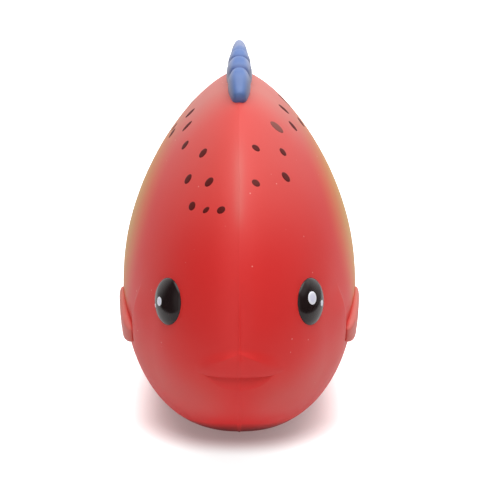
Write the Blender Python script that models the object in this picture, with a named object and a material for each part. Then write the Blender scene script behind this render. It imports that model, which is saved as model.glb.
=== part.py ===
"""Fish stress toy, a squeeze fish of self-skinning polyurethane foam.

Metres, +Z up. The fish stands on its belly at z = 0 and faces -Y, so +X is its left side.
The origin is under the middle of its overall length.
"""
import math

import bmesh
import bpy
from mathutils import Matrix, Vector

MM = 0.001

# Overall form of the body
OVERALL_LENGTH = 112.0 * MM
BODY_WIDTH = 48.6 * MM
BACK_HEIGHT = 70.5 * MM
SNOUT_HEIGHT = 27.0 * MM
WIDEST_HEIGHT = 26.2 * MM
SNOUT_TO_WIDEST = 48.0 * MM
SNOUT_TO_BACK_PEAK = 50.0 * MM
BELLY_FLAT_DEPTH = 0.6 * MM
TAIL_ROOT_HEIGHT = 20.0 * MM
TAIL_ROOT_WIDTH = 9.6 * MM
TAIL_ROOT_MIDDLE = 33.5 * MM

# Roundness of the body: an exponent of 2 is an ellipse, more is squarer, less is more pointed
BACK_LENGTHWISE_EXPONENT = 2.1
BELLY_LENGTHWISE_EXPONENT = 1.87
SIDE_LENGTHWISE_EXPONENT = 1.84
WIDEST_LENGTHWISE_EXPONENT = 2.0
BACK_CROSSWISE_EXPONENT = 1.48
BACK_UPRIGHT_EXPONENT = 1.9
BELLY_CROSSWISE_EXPONENT = 2.33

# How late the belly rises and the back falls to the tail root: 1 is a plain wave, more is full for longer
REAR_BELLY_EXPONENT = 1.3
REAR_BACK_EXPONENT = 1.24

# Lips
MOUTH_HEIGHT = 28.1 * MM
MOUTH_WIDTH = 14.6 * MM
LIP_REACH = 1.0 * MM
LIP_DEPTH = 9.0 * MM
UPPER_LIP_HEIGHT = 6.2 * MM
LOWER_LIP_HEIGHT = 3.4 * MM
LOWER_LIP_INSET = 0.25 * MM

# Gill covers, each a swelling of the head that ends in a round edge
SNOUT_TO_GILL = 26.6 * MM
GILL_RADIUS = 26.0 * MM
GILL_HEIGHT = 27.5 * MM
GILL_SWELL = 0.6 * MM
GILL_SWELL_LENGTH = 10.0 * MM
GILL_EDGE_HEIGHT = 32.0 * MM
GILL_FADE_LENGTH = 8.0 * MM

# Squeezed flanks
FLANK_DEPTH = 9.8 * MM

# Eyes
EYE_DIAMETER = 9.2 * MM
EYE_BULGE = 1.2 * MM
EYE_HEIGHT = 37.9 * MM
SNOUT_TO_EYE = 13.8 * MM

# Dorsal fin: lobes that lean back one over the other
SNOUT_TO_DORSAL = 43.2 * MM
DORSAL_LENGTH = 27.0 * MM
DORSAL_LOBE_ANGLE = math.radians(36.0)
DORSAL_SLOPE_SHARE = 0.1
DORSAL_LOBE_WIDTH = 8.0 * MM
DORSAL_LOBE_LENGTHS = (5.0 * MM, 5.1 * MM, 4.8 * MM, 5.5 * MM, 9.0 * MM, 7.4 * MM)
DORSAL_THICKNESSES = (4.8 * MM, 5.5 * MM, 5.0 * MM, 4.4 * MM, 4.0 * MM, 3.4 * MM)
DORSAL_ROOT = 4.5 * MM

# Anal fin: the same under the rear
ANAL_TO_TAIL = 10.0 * MM
ANAL_LENGTH = 10.0 * MM
ANAL_LOBE_ANGLE = math.radians(40.0)
ANAL_SLOPE_SHARE = 1.0
ANAL_LOBE_WIDTH = 7.6 * MM
ANAL_LOBE_LENGTHS = (6.6 * MM, 7.4 * MM, 6.6 * MM)
ANAL_THICKNESSES = (4.4 * MM, 4.4 * MM, 4.4 * MM)
ANAL_ROOT = 4.0 * MM

# Pectoral fins: rays that fan out over the flank from behind the gill cover
GILL_TO_PECTORAL = 0.8 * MM
PECTORAL_ROOT_HEIGHT = 23.4 * MM
PECTORAL_ROOT_SPREAD = 1.9 * MM
PECTORAL_LENGTH = 17.2 * MM
PECTORAL_RAYS = 4
PECTORAL_FAN = math.radians(19.0)
PECTORAL_RISE = math.radians(-6.0)
PECTORAL_RAY_WIDTH = 4.2 * MM
PECTORAL_THICKNESS = 2.4 * MM
PECTORAL_ROOT_LIFT = 0.6 * MM
PECTORAL_TIP_LIFT = 0.1 * MM

# Tail fin: rays that fan out from a round root on the bending axis
TAIL_LENGTH = 21.0 * MM
TAIL_RAYS = 7
TAIL_FAN = math.radians(78.0)
TAIL_FORK_RATIO = 0.2
TAIL_RAY_WIDTH = 9.4 * MM
TAIL_THICKNESS = 5.2 * MM
TAIL_KNUCKLE_WIDTH = 7.0 * MM
TAIL_KNUCKLE_HEIGHT = 16.4 * MM
TAIL_ROOT_SPREAD = 7.0 * MM
TAIL_SOCKET_SETBACK = 1.0 * MM

# Fits
CLEARANCE = 0.3 * MM

# Mesh fineness
BODY_RINGS = 36
BODY_SIDES = 36
LOBE_RINGS = 8
LOBE_SIDES = 14
EYE_RINGS = 10
EYE_SIDES = 20
GILL_SIDES = 72
SLOPE_STEP = 0.1 * MM
SHARP_EDGE = math.radians(40.0)

# Places worked out from the sizes
SNOUT_Y = -OVERALL_LENGTH / 2
HEAD_Y = SNOUT_Y + LIP_REACH
WIDEST_Y = SNOUT_Y + SNOUT_TO_WIDEST
BACK_PEAK_Y = SNOUT_Y + SNOUT_TO_BACK_PEAK
TAIL_AXIS_Y = OVERALL_LENGTH / 2 - TAIL_LENGTH
ANAL_Y = TAIL_AXIS_Y - ANAL_TO_TAIL - ANAL_LENGTH
BODY_END_Y = TAIL_AXIS_Y - TAIL_SOCKET_SETBACK
GILL_EDGE_Y = SNOUT_Y + SNOUT_TO_GILL
GILL_CENTRE = Vector((0.0, GILL_EDGE_Y - GILL_RADIUS, GILL_HEIGHT))
FLANK_X = BODY_WIDTH / 2 - FLANK_DEPTH
FAR = 2 * OVERALL_LENGTH

LEFT = 1
RIGHT = -1
SIDE_NAMES = {LEFT: "left", RIGHT: "right"}


def clamp(value):
    return min(max(value, 0.0), 1.0)


def smooth_step(value):
    value = clamp(value)
    return value * value * (3.0 - 2.0 * value)


def lengthwise(y, peak_y, at_head, at_peak, at_tail, roundness, fullness=1.0):
    """A size of the body that grows from the head to a peak and eases down to the tail root."""
    if y < peak_y:
        ahead = 1.0 - clamp((y - HEAD_Y) / (peak_y - HEAD_Y))
        return at_head + (at_peak - at_head) * (1.0 - ahead ** roundness) ** (1.0 / roundness)
    behind = clamp((y - peak_y) / (BODY_END_Y - peak_y)) ** fullness
    return at_tail + (at_peak - at_tail) * (0.5 + 0.5 * math.cos(math.pi * behind))


def body_section(y):
    """Top, bottom, half width and height of the widest line of the body at y."""
    root_top = TAIL_ROOT_MIDDLE + TAIL_ROOT_HEIGHT / 2
    root_bottom = TAIL_ROOT_MIDDLE - TAIL_ROOT_HEIGHT / 2
    top = lengthwise(y, BACK_PEAK_Y, SNOUT_HEIGHT, BACK_HEIGHT, root_top,
                     BACK_LENGTHWISE_EXPONENT, REAR_BACK_EXPONENT)
    bottom = lengthwise(y, WIDEST_Y, SNOUT_HEIGHT, -BELLY_FLAT_DEPTH, root_bottom,
                        BELLY_LENGTHWISE_EXPONENT, REAR_BELLY_EXPONENT)
    half = lengthwise(y, WIDEST_Y, 0.0, BODY_WIDTH / 2, TAIL_ROOT_WIDTH / 2, SIDE_LENGTHWISE_EXPONENT)
    widest = lengthwise(y, WIDEST_Y, SNOUT_HEIGHT, WIDEST_HEIGHT, TAIL_ROOT_MIDDLE,
                        WIDEST_LENGTHWISE_EXPONENT)
    return top, bottom, half, widest


def body_point(y, angle):
    """Point of the body's surface at y and a girth angle: 0 is the left side, 90 degrees the back."""
    top, bottom, half, widest = body_section(y)
    across = abs(math.cos(angle))
    up = math.sin(angle)
    side = math.copysign(1.0, math.cos(angle))
    if up >= 0.0:
        x = half * across ** (2.0 / BACK_CROSSWISE_EXPONENT)
        z = widest + (top - widest) * up ** (2.0 / BACK_UPRIGHT_EXPONENT)
    else:
        x = half * across ** (2.0 / BELLY_CROSSWISE_EXPONENT)
        z = widest - (widest - bottom) * (-up) ** (2.0 / BELLY_CROSSWISE_EXPONENT)
    return Vector((side * x, y, z))


def side_point(side, y, z):
    """Point of the body's surface on one side at y and z."""
    top, bottom, half, widest = body_section(y)
    if z >= widest:
        high = clamp((z - widest) / (top - widest))
        x = half * (1.0 - high ** BACK_UPRIGHT_EXPONENT) ** (1.0 / BACK_CROSSWISE_EXPONENT)
    else:
        low = clamp((widest - z) / (widest - bottom))
        x = half * (1.0 - low ** BELLY_CROSSWISE_EXPONENT) ** (1.0 / BELLY_CROSSWISE_EXPONENT)
    return Vector((side * x, y, z))


def side_normal(side, y, z):
    """Outward direction of the body's surface on one side at y and z."""
    along = side_point(side, y + SLOPE_STEP, z) - side_point(side, y - SLOPE_STEP, z)
    up = side_point(side, y, z + SLOPE_STEP) - side_point(side, y, z - SLOPE_STEP)
    return (along.cross(up) * side).normalized()


def lifted_point(side, y, z, lift):
    """Point that stands off the body's side."""
    return side_point(side, y, z) + side_normal(side, y, z) * lift


def gill_swell(point):
    """How far the gill cover stands out of the smooth head at a point."""
    reach = math.hypot(point.y - GILL_CENTRE.y, point.z - GILL_CENTRE.z)
    rise = smooth_step(1.0 - (GILL_RADIUS - reach) / GILL_SWELL_LENGTH)
    fade = smooth_step((GILL_EDGE_HEIGHT / 2 - abs(point.z - GILL_CENTRE.z)) / GILL_FADE_LENGTH)
    return GILL_SWELL * rise * fade


def new_object(name, mesh, collection):
    obj = bpy.data.objects.new(name, mesh)
    collection.objects.link(obj)
    return obj


def make_cutter(obj):
    obj.hide_render = True
    obj.display_type = "WIRE"
    return obj


def mesh_from(name, bm):
    mesh = bpy.data.meshes.new(name)
    bm.to_mesh(mesh)
    bm.free()
    mesh.shade_smooth()
    mesh.set_sharp_from_angle(angle=SHARP_EDGE)
    return mesh


def body_mesh(name, grown=0.0, with_gills=False):
    """The whole body form: a sphere with its poles at head and tail, drawn out to the body's sections."""
    bm = bmesh.new()
    bmesh.ops.create_uvsphere(bm, u_segments=BODY_SIDES, v_segments=BODY_RINGS, radius=1.0)
    for vert in bm.verts:
        along = (1.0 - vert.co.z) / 2.0
        y = HEAD_Y + (BODY_END_Y - HEAD_Y) * along
        if math.hypot(vert.co.x, vert.co.y) < 1e-6:
            vert.co = (0.0, y, body_section(y)[3])
            continue
        point = body_point(y, math.atan2(vert.co.y, vert.co.x))
        if with_gills:
            point.x += math.copysign(gill_swell(point), point.x) * smooth_step(abs(point.x) / FLANK_X)
        vert.co = point
    if grown:
        bm.normal_update()
        moved = [(vert, vert.co + vert.normal * grown) for vert in bm.verts]
        for vert, place in moved:
            vert.co = place
    return mesh_from(name, bm)


def ellipsoid_mesh(name, centre, frame, half_sizes, rings=LOBE_RINGS, sides=LOBE_SIDES):
    """An ellipsoid with its poles on the frame's third axis."""
    stretch = Matrix.Diagonal(Vector(half_sizes)).to_4x4()
    bm = bmesh.new()
    bmesh.ops.create_uvsphere(bm, u_segments=sides, v_segments=rings, radius=1.0,
                              matrix=Matrix.Translation(centre) @ frame.to_4x4() @ stretch)
    return mesh_from(name, bm)


def box_mesh(name, low, high):
    low, high = Vector(low), Vector(high)
    bm = bmesh.new()
    size = Matrix.Diagonal(high - low).to_4x4()
    bmesh.ops.create_cube(bm, size=1.0, matrix=Matrix.Translation((low + high) / 2) @ size)
    return mesh_from(name, bm)


def axis_frame(third, first):
    """A frame whose third axis points one way and whose first axis is as near to another as it can be."""
    third = third.normalized()
    first = (first - third * first.dot(third)).normalized()
    return Matrix((first, third.cross(first), third)).transposed()


def combine(obj, tool, operation):
    modifier = obj.modifiers.new(f"{operation.lower()}_{tool.name}", "BOOLEAN")
    modifier.operation = operation
    modifier.object = tool


def material(name, colour, roughness):
    mat = bpy.data.materials.new(name)
    mat.use_nodes = True
    shader = mat.node_tree.nodes["Principled BSDF"]
    shader.inputs["Base Color"].default_value = (*colour, 1.0)
    shader.inputs["Roughness"].default_value = roughness
    shader.inputs["Metallic"].default_value = 0.0
    mat.diffuse_color = (*colour, 1.0)
    return mat


class Toy:
    """Holds the collections and the cutters that several pieces share."""

    def __init__(self):
        self.parts = self.add_collection("fish_stress_toy")
        self.cutters = self.add_collection("fish_cutters")
        self.red = material("red_painted_foam", (0.67, 0.045, 0.045), 0.45)
        self.olive = material("yellow_green_painted_foam", (0.58, 0.36, 0.12), 0.45)
        self.blue = material("blue_painted_foam", (0.15, 0.24, 0.55), 0.45)
        self.black = material("black_gloss_paint", (0.012, 0.011, 0.011), 0.08)
        self.seat = self.cutter("body_seat", body_mesh("body_seat", grown=CLEARANCE))

    @staticmethod
    def add_collection(name):
        collection = bpy.data.collections.new(name)
        bpy.context.scene.collection.children.link(collection)
        return collection

    def part(self, name, mesh, mat):
        obj = new_object(name, mesh, self.parts)
        obj.data.materials.append(mat)
        return obj

    def cutter(self, name, mesh):
        return make_cutter(new_object(name, mesh, self.cutters))

    def lobed_part(self, name, meshes, mat):
        """One piece from several overlapping lobes."""
        obj = self.part(name, meshes[0], mat)
        for mesh in meshes[1:]:
            combine(obj, self.cutter(mesh.name, mesh), "UNION")
        return obj


def flank_zone(toy, side, inset):
    """Space of one flank: outside an upright plane and behind the gill edge, drawn in by an inset."""
    name = SIDE_NAMES[side]
    near = side * (FLANK_X + inset)
    far = side * FAR
    low = (min(near, far), -FAR, -FAR)
    high = (max(near, far), FAR, FAR)
    zone = toy.cutter(f"{name}_flank_zone_{inset / MM:.2f}", box_mesh("flank_zone", low, high))
    bm = bmesh.new()
    bmesh.ops.create_cone(bm, cap_ends=True, segments=GILL_SIDES, depth=4 * FAR,
                          radius1=GILL_RADIUS + inset, radius2=GILL_RADIUS + inset,
                          matrix=Matrix.Translation(GILL_CENTRE) @ Matrix.Rotation(math.pi / 2, 4, "Y"))
    disc = toy.cutter(f"{name}_gill_disc_{inset / MM:.2f}", mesh_from("gill_disc", bm))
    combine(zone, disc, "DIFFERENCE")
    return zone


def eye_mesh(name, side, grown=0.0):
    y = SNOUT_Y + SNOUT_TO_EYE
    centre = side_point(side, y, EYE_HEIGHT)
    frame = axis_frame(side_normal(side, y, EYE_HEIGHT), Vector((0.0, 0.0, 1.0)))
    radius = EYE_DIAMETER / 2 + grown
    return ellipsoid_mesh(name, centre, frame, (radius, radius, EYE_BULGE + grown), EYE_RINGS, EYE_SIDES)


def lip_mesh(name, height, middle, width, inset):
    """One lip: a rounded bar across the snout, sunk into the head for most of its depth."""
    centre = Vector((0.0, SNOUT_Y + inset + LIP_DEPTH / 2, middle))
    frame = axis_frame(Vector((1.0, 0.0, 0.0)), Vector((0.0, 1.0, 0.0)))
    return ellipsoid_mesh(name, centre, frame, (LIP_DEPTH / 2, height / 2, width / 2))


def build_body(toy):
    body = toy.part("body", body_mesh("body", with_gills=True), toy.red)
    upper_middle = MOUTH_HEIGHT + UPPER_LIP_HEIGHT / 2
    lower_middle = MOUTH_HEIGHT - LOWER_LIP_HEIGHT / 2
    upper = lip_mesh("upper_lip", UPPER_LIP_HEIGHT, upper_middle, MOUTH_WIDTH, 0.0)
    lower_width = MOUTH_WIDTH - LOWER_LIP_HEIGHT
    lower = lip_mesh("lower_lip", LOWER_LIP_HEIGHT, lower_middle, lower_width, LOWER_LIP_INSET)
    combine(body, toy.cutter("upper_lip", upper), "UNION")
    combine(body, toy.cutter("lower_lip", lower), "UNION")
    floor = box_mesh("floor_cut", (-FAR, -FAR, -FAR), (FAR, FAR, 0.0))
    combine(body, toy.cutter("floor_cut", floor), "DIFFERENCE")
    for side, name in SIDE_NAMES.items():
        combine(body, flank_zone(toy, side, -CLEARANCE / 2), "DIFFERENCE")
        socket = toy.cutter(f"{name}_eye_socket", eye_mesh("eye_socket", side, CLEARANCE))
        combine(body, socket, "DIFFERENCE")
    combine(body, toy.cutter("tail_socket", knuckle_mesh("tail_socket", CLEARANCE)), "DIFFERENCE")
    return body


def build_flank(toy, side):
    name = SIDE_NAMES[side]
    flank = toy.part(f"{name}_flank", body_mesh(f"{name}_flank"), toy.olive)
    combine(flank, flank_zone(toy, side, CLEARANCE / 2), "INTERSECT")
    return flank


def build_eye(toy, side):
    name = f"{SIDE_NAMES[side]}_eye"
    return toy.part(name, eye_mesh(name, side), toy.black)


def row_lobes(name, first_y, length, lean, slope_share, width, root, lobe_lengths, thicknesses, edge_height):
    """Lobes of a fin on the middle line, each leaning back from the body's edge to a free tip.

    edge_height gives the body's edge at y, and slope_share how much of its slope the lobes take on. A
    positive lean lifts the lobes off the back, a negative one lowers them from the belly.
    """
    meshes = []
    spacing = length / (len(lobe_lengths) - 1)
    for index, (lobe_length, thickness) in enumerate(zip(lobe_lengths, thicknesses)):
        y = first_y + spacing * index
        base = Vector((0.0, y, edge_height(y)))
        rise = edge_height(y + SLOPE_STEP) - edge_height(y - SLOPE_STEP)
        angle = slope_share * math.atan2(rise, 2.0 * SLOPE_STEP) + lean
        direction = Vector((0.0, math.cos(angle), math.sin(angle)))
        middle = base + direction * (lobe_length - root) / 2
        frame = axis_frame(direction, Vector((1.0, 0.0, 0.0)))
        half_sizes = (thickness / 2, width / 2, (lobe_length + root) / 2)
        meshes.append(ellipsoid_mesh(f"{name}_lobe_{index + 1}", middle, frame, half_sizes))
    return meshes


def back_height(y):
    return body_section(y)[0]


def belly_height(y):
    return body_section(y)[1]


def build_dorsal_fin(toy):
    meshes = row_lobes("dorsal", SNOUT_Y + SNOUT_TO_DORSAL, DORSAL_LENGTH, DORSAL_LOBE_ANGLE,
                       DORSAL_SLOPE_SHARE, DORSAL_LOBE_WIDTH, DORSAL_ROOT, DORSAL_LOBE_LENGTHS,
                       DORSAL_THICKNESSES, back_height)
    fin = toy.lobed_part("dorsal_fin", meshes, toy.blue)
    combine(fin, toy.seat, "DIFFERENCE")
    return fin


def build_anal_fin(toy):
    meshes = row_lobes("anal", ANAL_Y, ANAL_LENGTH, -ANAL_LOBE_ANGLE, ANAL_SLOPE_SHARE,
                       ANAL_LOBE_WIDTH, ANAL_ROOT, ANAL_LOBE_LENGTHS, ANAL_THICKNESSES, belly_height)
    fin = toy.lobed_part("anal_fin", meshes, toy.blue)
    combine(fin, toy.seat, "DIFFERENCE")
    return fin


def fan_shares(count):
    """Places across a fan, from -1 at its lower edge to +1 at its upper edge."""
    return [2.0 * index / (count - 1) - 1.0 for index in range(count)]


def build_pectoral_fin(toy, side):
    name = SIDE_NAMES[side]
    root_y = GILL_EDGE_Y + GILL_TO_PECTORAL
    meshes = []
    for index, share in enumerate(fan_shares(PECTORAL_RAYS)):
        turn = PECTORAL_FAN / 2 * share + PECTORAL_RISE
        root_z = PECTORAL_ROOT_HEIGHT + PECTORAL_ROOT_SPREAD / 2 * share
        tip_y = root_y + PECTORAL_LENGTH * math.cos(turn)
        tip_z = root_z + PECTORAL_LENGTH * math.sin(turn)
        root = lifted_point(side, root_y, root_z, PECTORAL_ROOT_LIFT)
        tip = lifted_point(side, tip_y, tip_z, PECTORAL_TIP_LIFT)
        frame = axis_frame(tip - root, Vector((side, 0.0, 0.0)))
        half_sizes = (PECTORAL_THICKNESS / 2, PECTORAL_RAY_WIDTH / 2, (tip - root).length / 2)
        ray_name = f"{name}_pectoral_ray_{index + 1}"
        meshes.append(ellipsoid_mesh(ray_name, (root + tip) / 2, frame, half_sizes))
    fin = toy.lobed_part(f"{name}_pectoral_fin", meshes, toy.red)
    combine(fin, toy.seat, "DIFFERENCE")
    return fin


def knuckle_mesh(name, grown=0.0):
    """Round root of the tail, turned about the upright bending axis."""
    half_width = TAIL_KNUCKLE_WIDTH / 2 + grown
    half_height = TAIL_KNUCKLE_HEIGHT / 2 + grown
    centre = Vector((0.0, TAIL_AXIS_Y, TAIL_ROOT_MIDDLE))
    return ellipsoid_mesh(name, centre, Matrix.Identity(3), (half_width, half_width, half_height),
                          EYE_RINGS, EYE_SIDES)


def build_tail_fin(toy):
    axis = Vector((0.0, TAIL_AXIS_Y, TAIL_ROOT_MIDDLE))
    meshes = [knuckle_mesh("tail_knuckle")]
    for index, share in enumerate(fan_shares(TAIL_RAYS)):
        angle = TAIL_FAN / 2 * share
        root = axis + Vector((0.0, 0.0, TAIL_ROOT_SPREAD / 2 * share))
        reach = TAIL_LENGTH * (1.0 - TAIL_FORK_RATIO * (1.0 - share ** 2))
        bulge = TAIL_RAY_WIDTH / 2 * math.sin(angle)
        half_length = (reach ** 2 - bulge ** 2) / (2.0 * reach * math.cos(angle))
        direction = Vector((0.0, math.cos(angle), math.sin(angle)))
        frame = axis_frame(direction, Vector((1.0, 0.0, 0.0)))
        half_sizes = (TAIL_THICKNESS / 2, TAIL_RAY_WIDTH / 2, half_length)
        middle = root + direction * half_length
        meshes.append(ellipsoid_mesh(f"tail_ray_{index + 1}", middle, frame, half_sizes))
    fin = toy.lobed_part("tail_fin", meshes, toy.blue)
    hinge = bpy.data.objects.new("tail_axis", None)
    toy.parts.objects.link(hinge)
    hinge.location = axis
    fin.parent = hinge
    fin.matrix_parent_inverse = Matrix.Translation(-axis)
    return fin


def main():
    for obj in list(bpy.data.objects):
        bpy.data.objects.remove(obj)
    toy = Toy()
    build_body(toy)
    for side in SIDE_NAMES:
        build_flank(toy, side)
        build_pectoral_fin(toy, side)
        build_eye(toy, side)
    build_dorsal_fin(toy)
    build_anal_fin(toy)
    build_tail_fin(toy)


main()
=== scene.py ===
"""Looks of the fish stress toy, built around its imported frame.

Metres, +Z up. The fish stands on its belly at z = 0 and faces -Y, so +X is its left side.
"""
import math

import bmesh
import bpy
import numpy as np
from mathutils import Matrix, Vector, noise
from mathutils.bvhtree import BVHTree


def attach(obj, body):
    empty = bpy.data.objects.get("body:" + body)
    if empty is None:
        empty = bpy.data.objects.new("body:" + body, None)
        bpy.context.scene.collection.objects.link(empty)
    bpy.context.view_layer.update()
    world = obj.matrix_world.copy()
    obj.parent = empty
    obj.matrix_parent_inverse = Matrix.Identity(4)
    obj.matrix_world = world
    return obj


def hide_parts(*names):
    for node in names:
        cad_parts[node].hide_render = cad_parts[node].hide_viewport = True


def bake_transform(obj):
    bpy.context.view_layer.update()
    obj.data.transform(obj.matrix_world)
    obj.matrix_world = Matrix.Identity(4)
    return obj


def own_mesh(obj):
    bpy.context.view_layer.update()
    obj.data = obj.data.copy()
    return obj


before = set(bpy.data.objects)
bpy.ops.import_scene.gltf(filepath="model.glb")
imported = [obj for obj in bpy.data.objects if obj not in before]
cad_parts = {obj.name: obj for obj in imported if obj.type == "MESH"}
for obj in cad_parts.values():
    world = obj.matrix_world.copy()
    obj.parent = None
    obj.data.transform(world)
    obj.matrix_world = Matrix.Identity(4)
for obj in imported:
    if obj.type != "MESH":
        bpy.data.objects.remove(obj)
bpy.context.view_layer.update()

MM = 0.001
LEFT = 1
RIGHT = -1
MIDDLE = 0
SIDE_NAMES = {LEFT: "left", RIGHT: "right"}
TINY = 1e-9

# Sockets of a Mix node for colours: the share of the coat over the base, the two colours and the result
SHARE = 0
BASE = 6
COAT = 7
MIXED = 2

# Body form, the same sizes as the CAD body
OVERALL_LENGTH = 112.0 * MM
BODY_WIDTH = 48.6 * MM
BACK_HEIGHT = 70.5 * MM
SNOUT_HEIGHT = 27.0 * MM
WIDEST_HEIGHT = 26.2 * MM
SNOUT_TO_WIDEST = 48.0 * MM
SNOUT_TO_BACK_PEAK = 50.0 * MM
BELLY_FLAT_DEPTH = 0.6 * MM
TAIL_ROOT_HEIGHT = 20.0 * MM
TAIL_ROOT_WIDTH = 9.6 * MM
TAIL_ROOT_MIDDLE = 33.5 * MM
LIP_REACH = 1.0 * MM

# Roundness of the body: an exponent of 2 is an ellipse, more is squarer, less is more pointed
BACK_LENGTHWISE_EXPONENT = 2.1
BELLY_LENGTHWISE_EXPONENT = 1.87
SIDE_LENGTHWISE_EXPONENT = 1.84
WIDEST_LENGTHWISE_EXPONENT = 2.0
BACK_CROSSWISE_EXPONENT = 1.48
BACK_UPRIGHT_EXPONENT = 1.9
BELLY_CROSSWISE_EXPONENT = 2.33
REAR_BELLY_EXPONENT = 1.3
REAR_BACK_EXPONENT = 1.24

# Rounded end of the tail root, round the root of the tail fin
ROOT_ROUNDING = 3.5 * MM
ROOT_OVERRUN = 1.0 * MM

# Lips
MOUTH_HEIGHT = 28.1 * MM
MOUTH_WIDTH = 13.4 * MM
MOUTH_DROOP = 0.65 * MM
MOUTH_DROOP_HEIGHT = 5.0 * MM
MOUTH_DROOP_END = 2.5
LIP_RISE = 3.5 * MM
LIP_WIDTH = 17.0 * MM
LIP_SWELL = 0.5 * MM
LIP_FADE = 2.4 * MM
LIP_ROLL = 1.0 * MM
LIP_ROLL_SHARE = 0.5
LIP_TUCK_SHARE = 0.8
BEAK_RISE = 5.0 * MM
BEAK_FALL = 2.2 * MM
BEAK_REACH = 0.15 * MM
BEAK_WIDTH = 9.0 * MM
BEAK_END_SHARE = 0.5
BEAK_ROUND = 0.35 * MM
LOWER_LIP_HEIGHT = 2.9 * MM
LOWER_LIP_HOLLOW = 0.8 * MM
LOWER_LIP_EXPONENT = 0.85
MOUTH_EDGE = 0.12 * MM
FACE_LENGTH = 18.0 * MM
FACE_FADE = 6.0 * MM

# Gill covers
SNOUT_TO_GILL = 26.6 * MM
GILL_RADIUS = 26.0 * MM
GILL_HEIGHT = 27.5 * MM
GILL_SWELL = 0.6 * MM
GILL_SWELL_LENGTH = 10.0 * MM
GILL_SWELL_MIDDLE = 25.5 * MM
GILL_EDGE_HEIGHT = 22.0 * MM
GILL_FADE_LENGTH = 7.0 * MM
GILL_EDGE_ROUND = 0.3 * MM
GILL_EDGE_SHIFT = 0.1 * MM
GILL_EDGE_SHARES = (-0.45, -0.15, 0.1, 0.35)
GILL_SEAM_HEIGHT = 37.0 * MM

# Soft flanks behind the gill covers
FLANK_DEPTH = 9.8 * MM
POCKET_GAP = 0.3 * MM

# Parting bead of the two mould halves, the slight waviness of the moulding and its rounded-off crest
BEAD_HEIGHT = 0.13 * MM
BEAD_WIDTH = 0.45 * MM
BEAD_LOW_SHARE = 0.2
BEAD_TOP = 46.0 * MM
BEAD_FADE = 8.0 * MM
WAVE_HEIGHT = 0.06 * MM
WAVE_LENGTH = 9.0 * MM
FLOOR_FADE = 3.0 * MM
CREST_ROUND = 0.4 * MM
CREST_WIDTH = 6.0 * MM
CREST_LOW = 30.0 * MM
CREST_HIGH = 71.0 * MM
CREST_FADE = 12.0 * MM

# Fineness of the skin: its columns and rings, and how its rows grow further apart away from the mouth
# line, the back and the belly
HEAD_COLUMNS = 90
HEAD_CROWDING = 1.1
FLANK_COLUMNS = 66
FLOOR_RINGS = 6
ROW_STEP = 0.42 * MM
MOUTH_ROW_STEP = 0.06 * MM
MOUTH_ROW_GROWTH = 0.05
BACK_ROW_STEP = 0.03 * MM
BACK_ROW_GROWTH = 0.12
BELLY_ROW_STEP = 0.12 * MM
BELLY_ROW_GROWTH = 0.15
BACK_ROW_MARGIN = 0.05 * MM
BACK_ROW_LIMIT = 0.02 * MM
BELLY_ROW_MARGIN = 0.2 * MM
HALVINGS = 60
WELD = 0.001 * MM

# Eyes
EYE_DIAMETER = 9.2 * MM
EYE_BULGE = 1.2 * MM
EYE_HEIGHT = 37.9 * MM
SNOUT_TO_EYE = 13.8 * MM
EYE_SINK = 1.0 * MM
EYE_DOME_EXPONENT = 2.4
EYE_RIM_EXPONENT = 0.62
EYE_CAST_HEIGHT = 5.0 * MM
EYE_RINGS = 26
EYE_SIDES = 72

# Fins of overlapping lobes, along the top or bottom edge of the body's sections
TOP_EDGE = 0
BOTTOM_EDGE = 1
DORSAL_START = 43.2 * MM
DORSAL_LENGTH = 27.0 * MM
DORSAL_LOBE_ANGLE = math.radians(36.0)
DORSAL_LOBE_WIDTH = 8.0 * MM
DORSAL_LOBE_LENGTHS = [5.0 * MM, 5.1 * MM, 4.8 * MM, 5.5 * MM, 9.0 * MM, 7.4 * MM]
DORSAL_THICKNESSES = [4.8 * MM, 5.5 * MM, 5.0 * MM, 4.4 * MM, 4.0 * MM, 3.4 * MM]
DORSAL_SLOPE_SHARE = 0.1
DORSAL_ROOT = 4.5 * MM
ANAL_TO_TAIL = 10.0 * MM
ANAL_LENGTH = 10.0 * MM
ANAL_LOBE_ANGLE = math.radians(-40.0)
ANAL_LOBE_WIDTH = 7.6 * MM
ANAL_LOBE_LENGTHS = [6.6 * MM, 7.4 * MM, 6.6 * MM]
ANAL_THICKNESSES = [4.4 * MM, 4.4 * MM, 4.4 * MM]
ANAL_SLOPE_SHARE = 1.0
ANAL_ROOT = 4.0 * MM
SLOPE_STEP = 0.1 * MM
# Painted shade in the creases between lobes, and paler lobe sides that are thinner spray and a painted
# sheen
CREASE_SHARE = 0.25
CREASE_SHADE = 0.75
DORSAL_SIDE_FADE = 1.0
DORSAL_REAR_FADE = 0.7
OTHER_SIDE_FADE = 0.4
SIDE_FADE_START = 0.25
SIDE_FADE_RANGE = 0.625
REAR_FADE_LENGTH = 12.0 * MM

# Fins of fanned rays
PECTORAL_START = 27.4 * MM
PECTORAL_ROOT_HEIGHT = 23.4 * MM
PECTORAL_ROOT_SPREAD = 1.9 * MM
PECTORAL_LENGTH = 17.2 * MM
PECTORAL_RAYS = 4
PECTORAL_FAN = math.radians(19.0)
PECTORAL_RISE = math.radians(-6.0)
PECTORAL_RAY_WIDTH = 3.5 * MM
PECTORAL_THICKNESS = 2.4 * MM
PECTORAL_ROOT_LIFT = 0.6 * MM
PECTORAL_TIP_LIFT = 0.1 * MM
PECTORAL_FLANK_LEVEL = 0.15
PECTORAL_THIN = 0.85
PECTORAL_THIN_SLOPE = 1.5
# Painted shade: a redder tone along the fin's inner face, where it meets the flank
PECTORAL_CREASE_SHADE = 0.25
PECTORAL_CREASE_START = 0.35
PECTORAL_CREASE_SLOPE = 3.0
PECTORAL_SMOOTHING = 2
TAIL_LENGTH = 21.0 * MM
TAIL_RAYS = 7
TAIL_FAN = math.radians(78.0)
TAIL_FORK_SHARE = 0.2
TAIL_RAY_WIDTH = 9.4 * MM
TAIL_THICKNESS = 5.2 * MM
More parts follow.
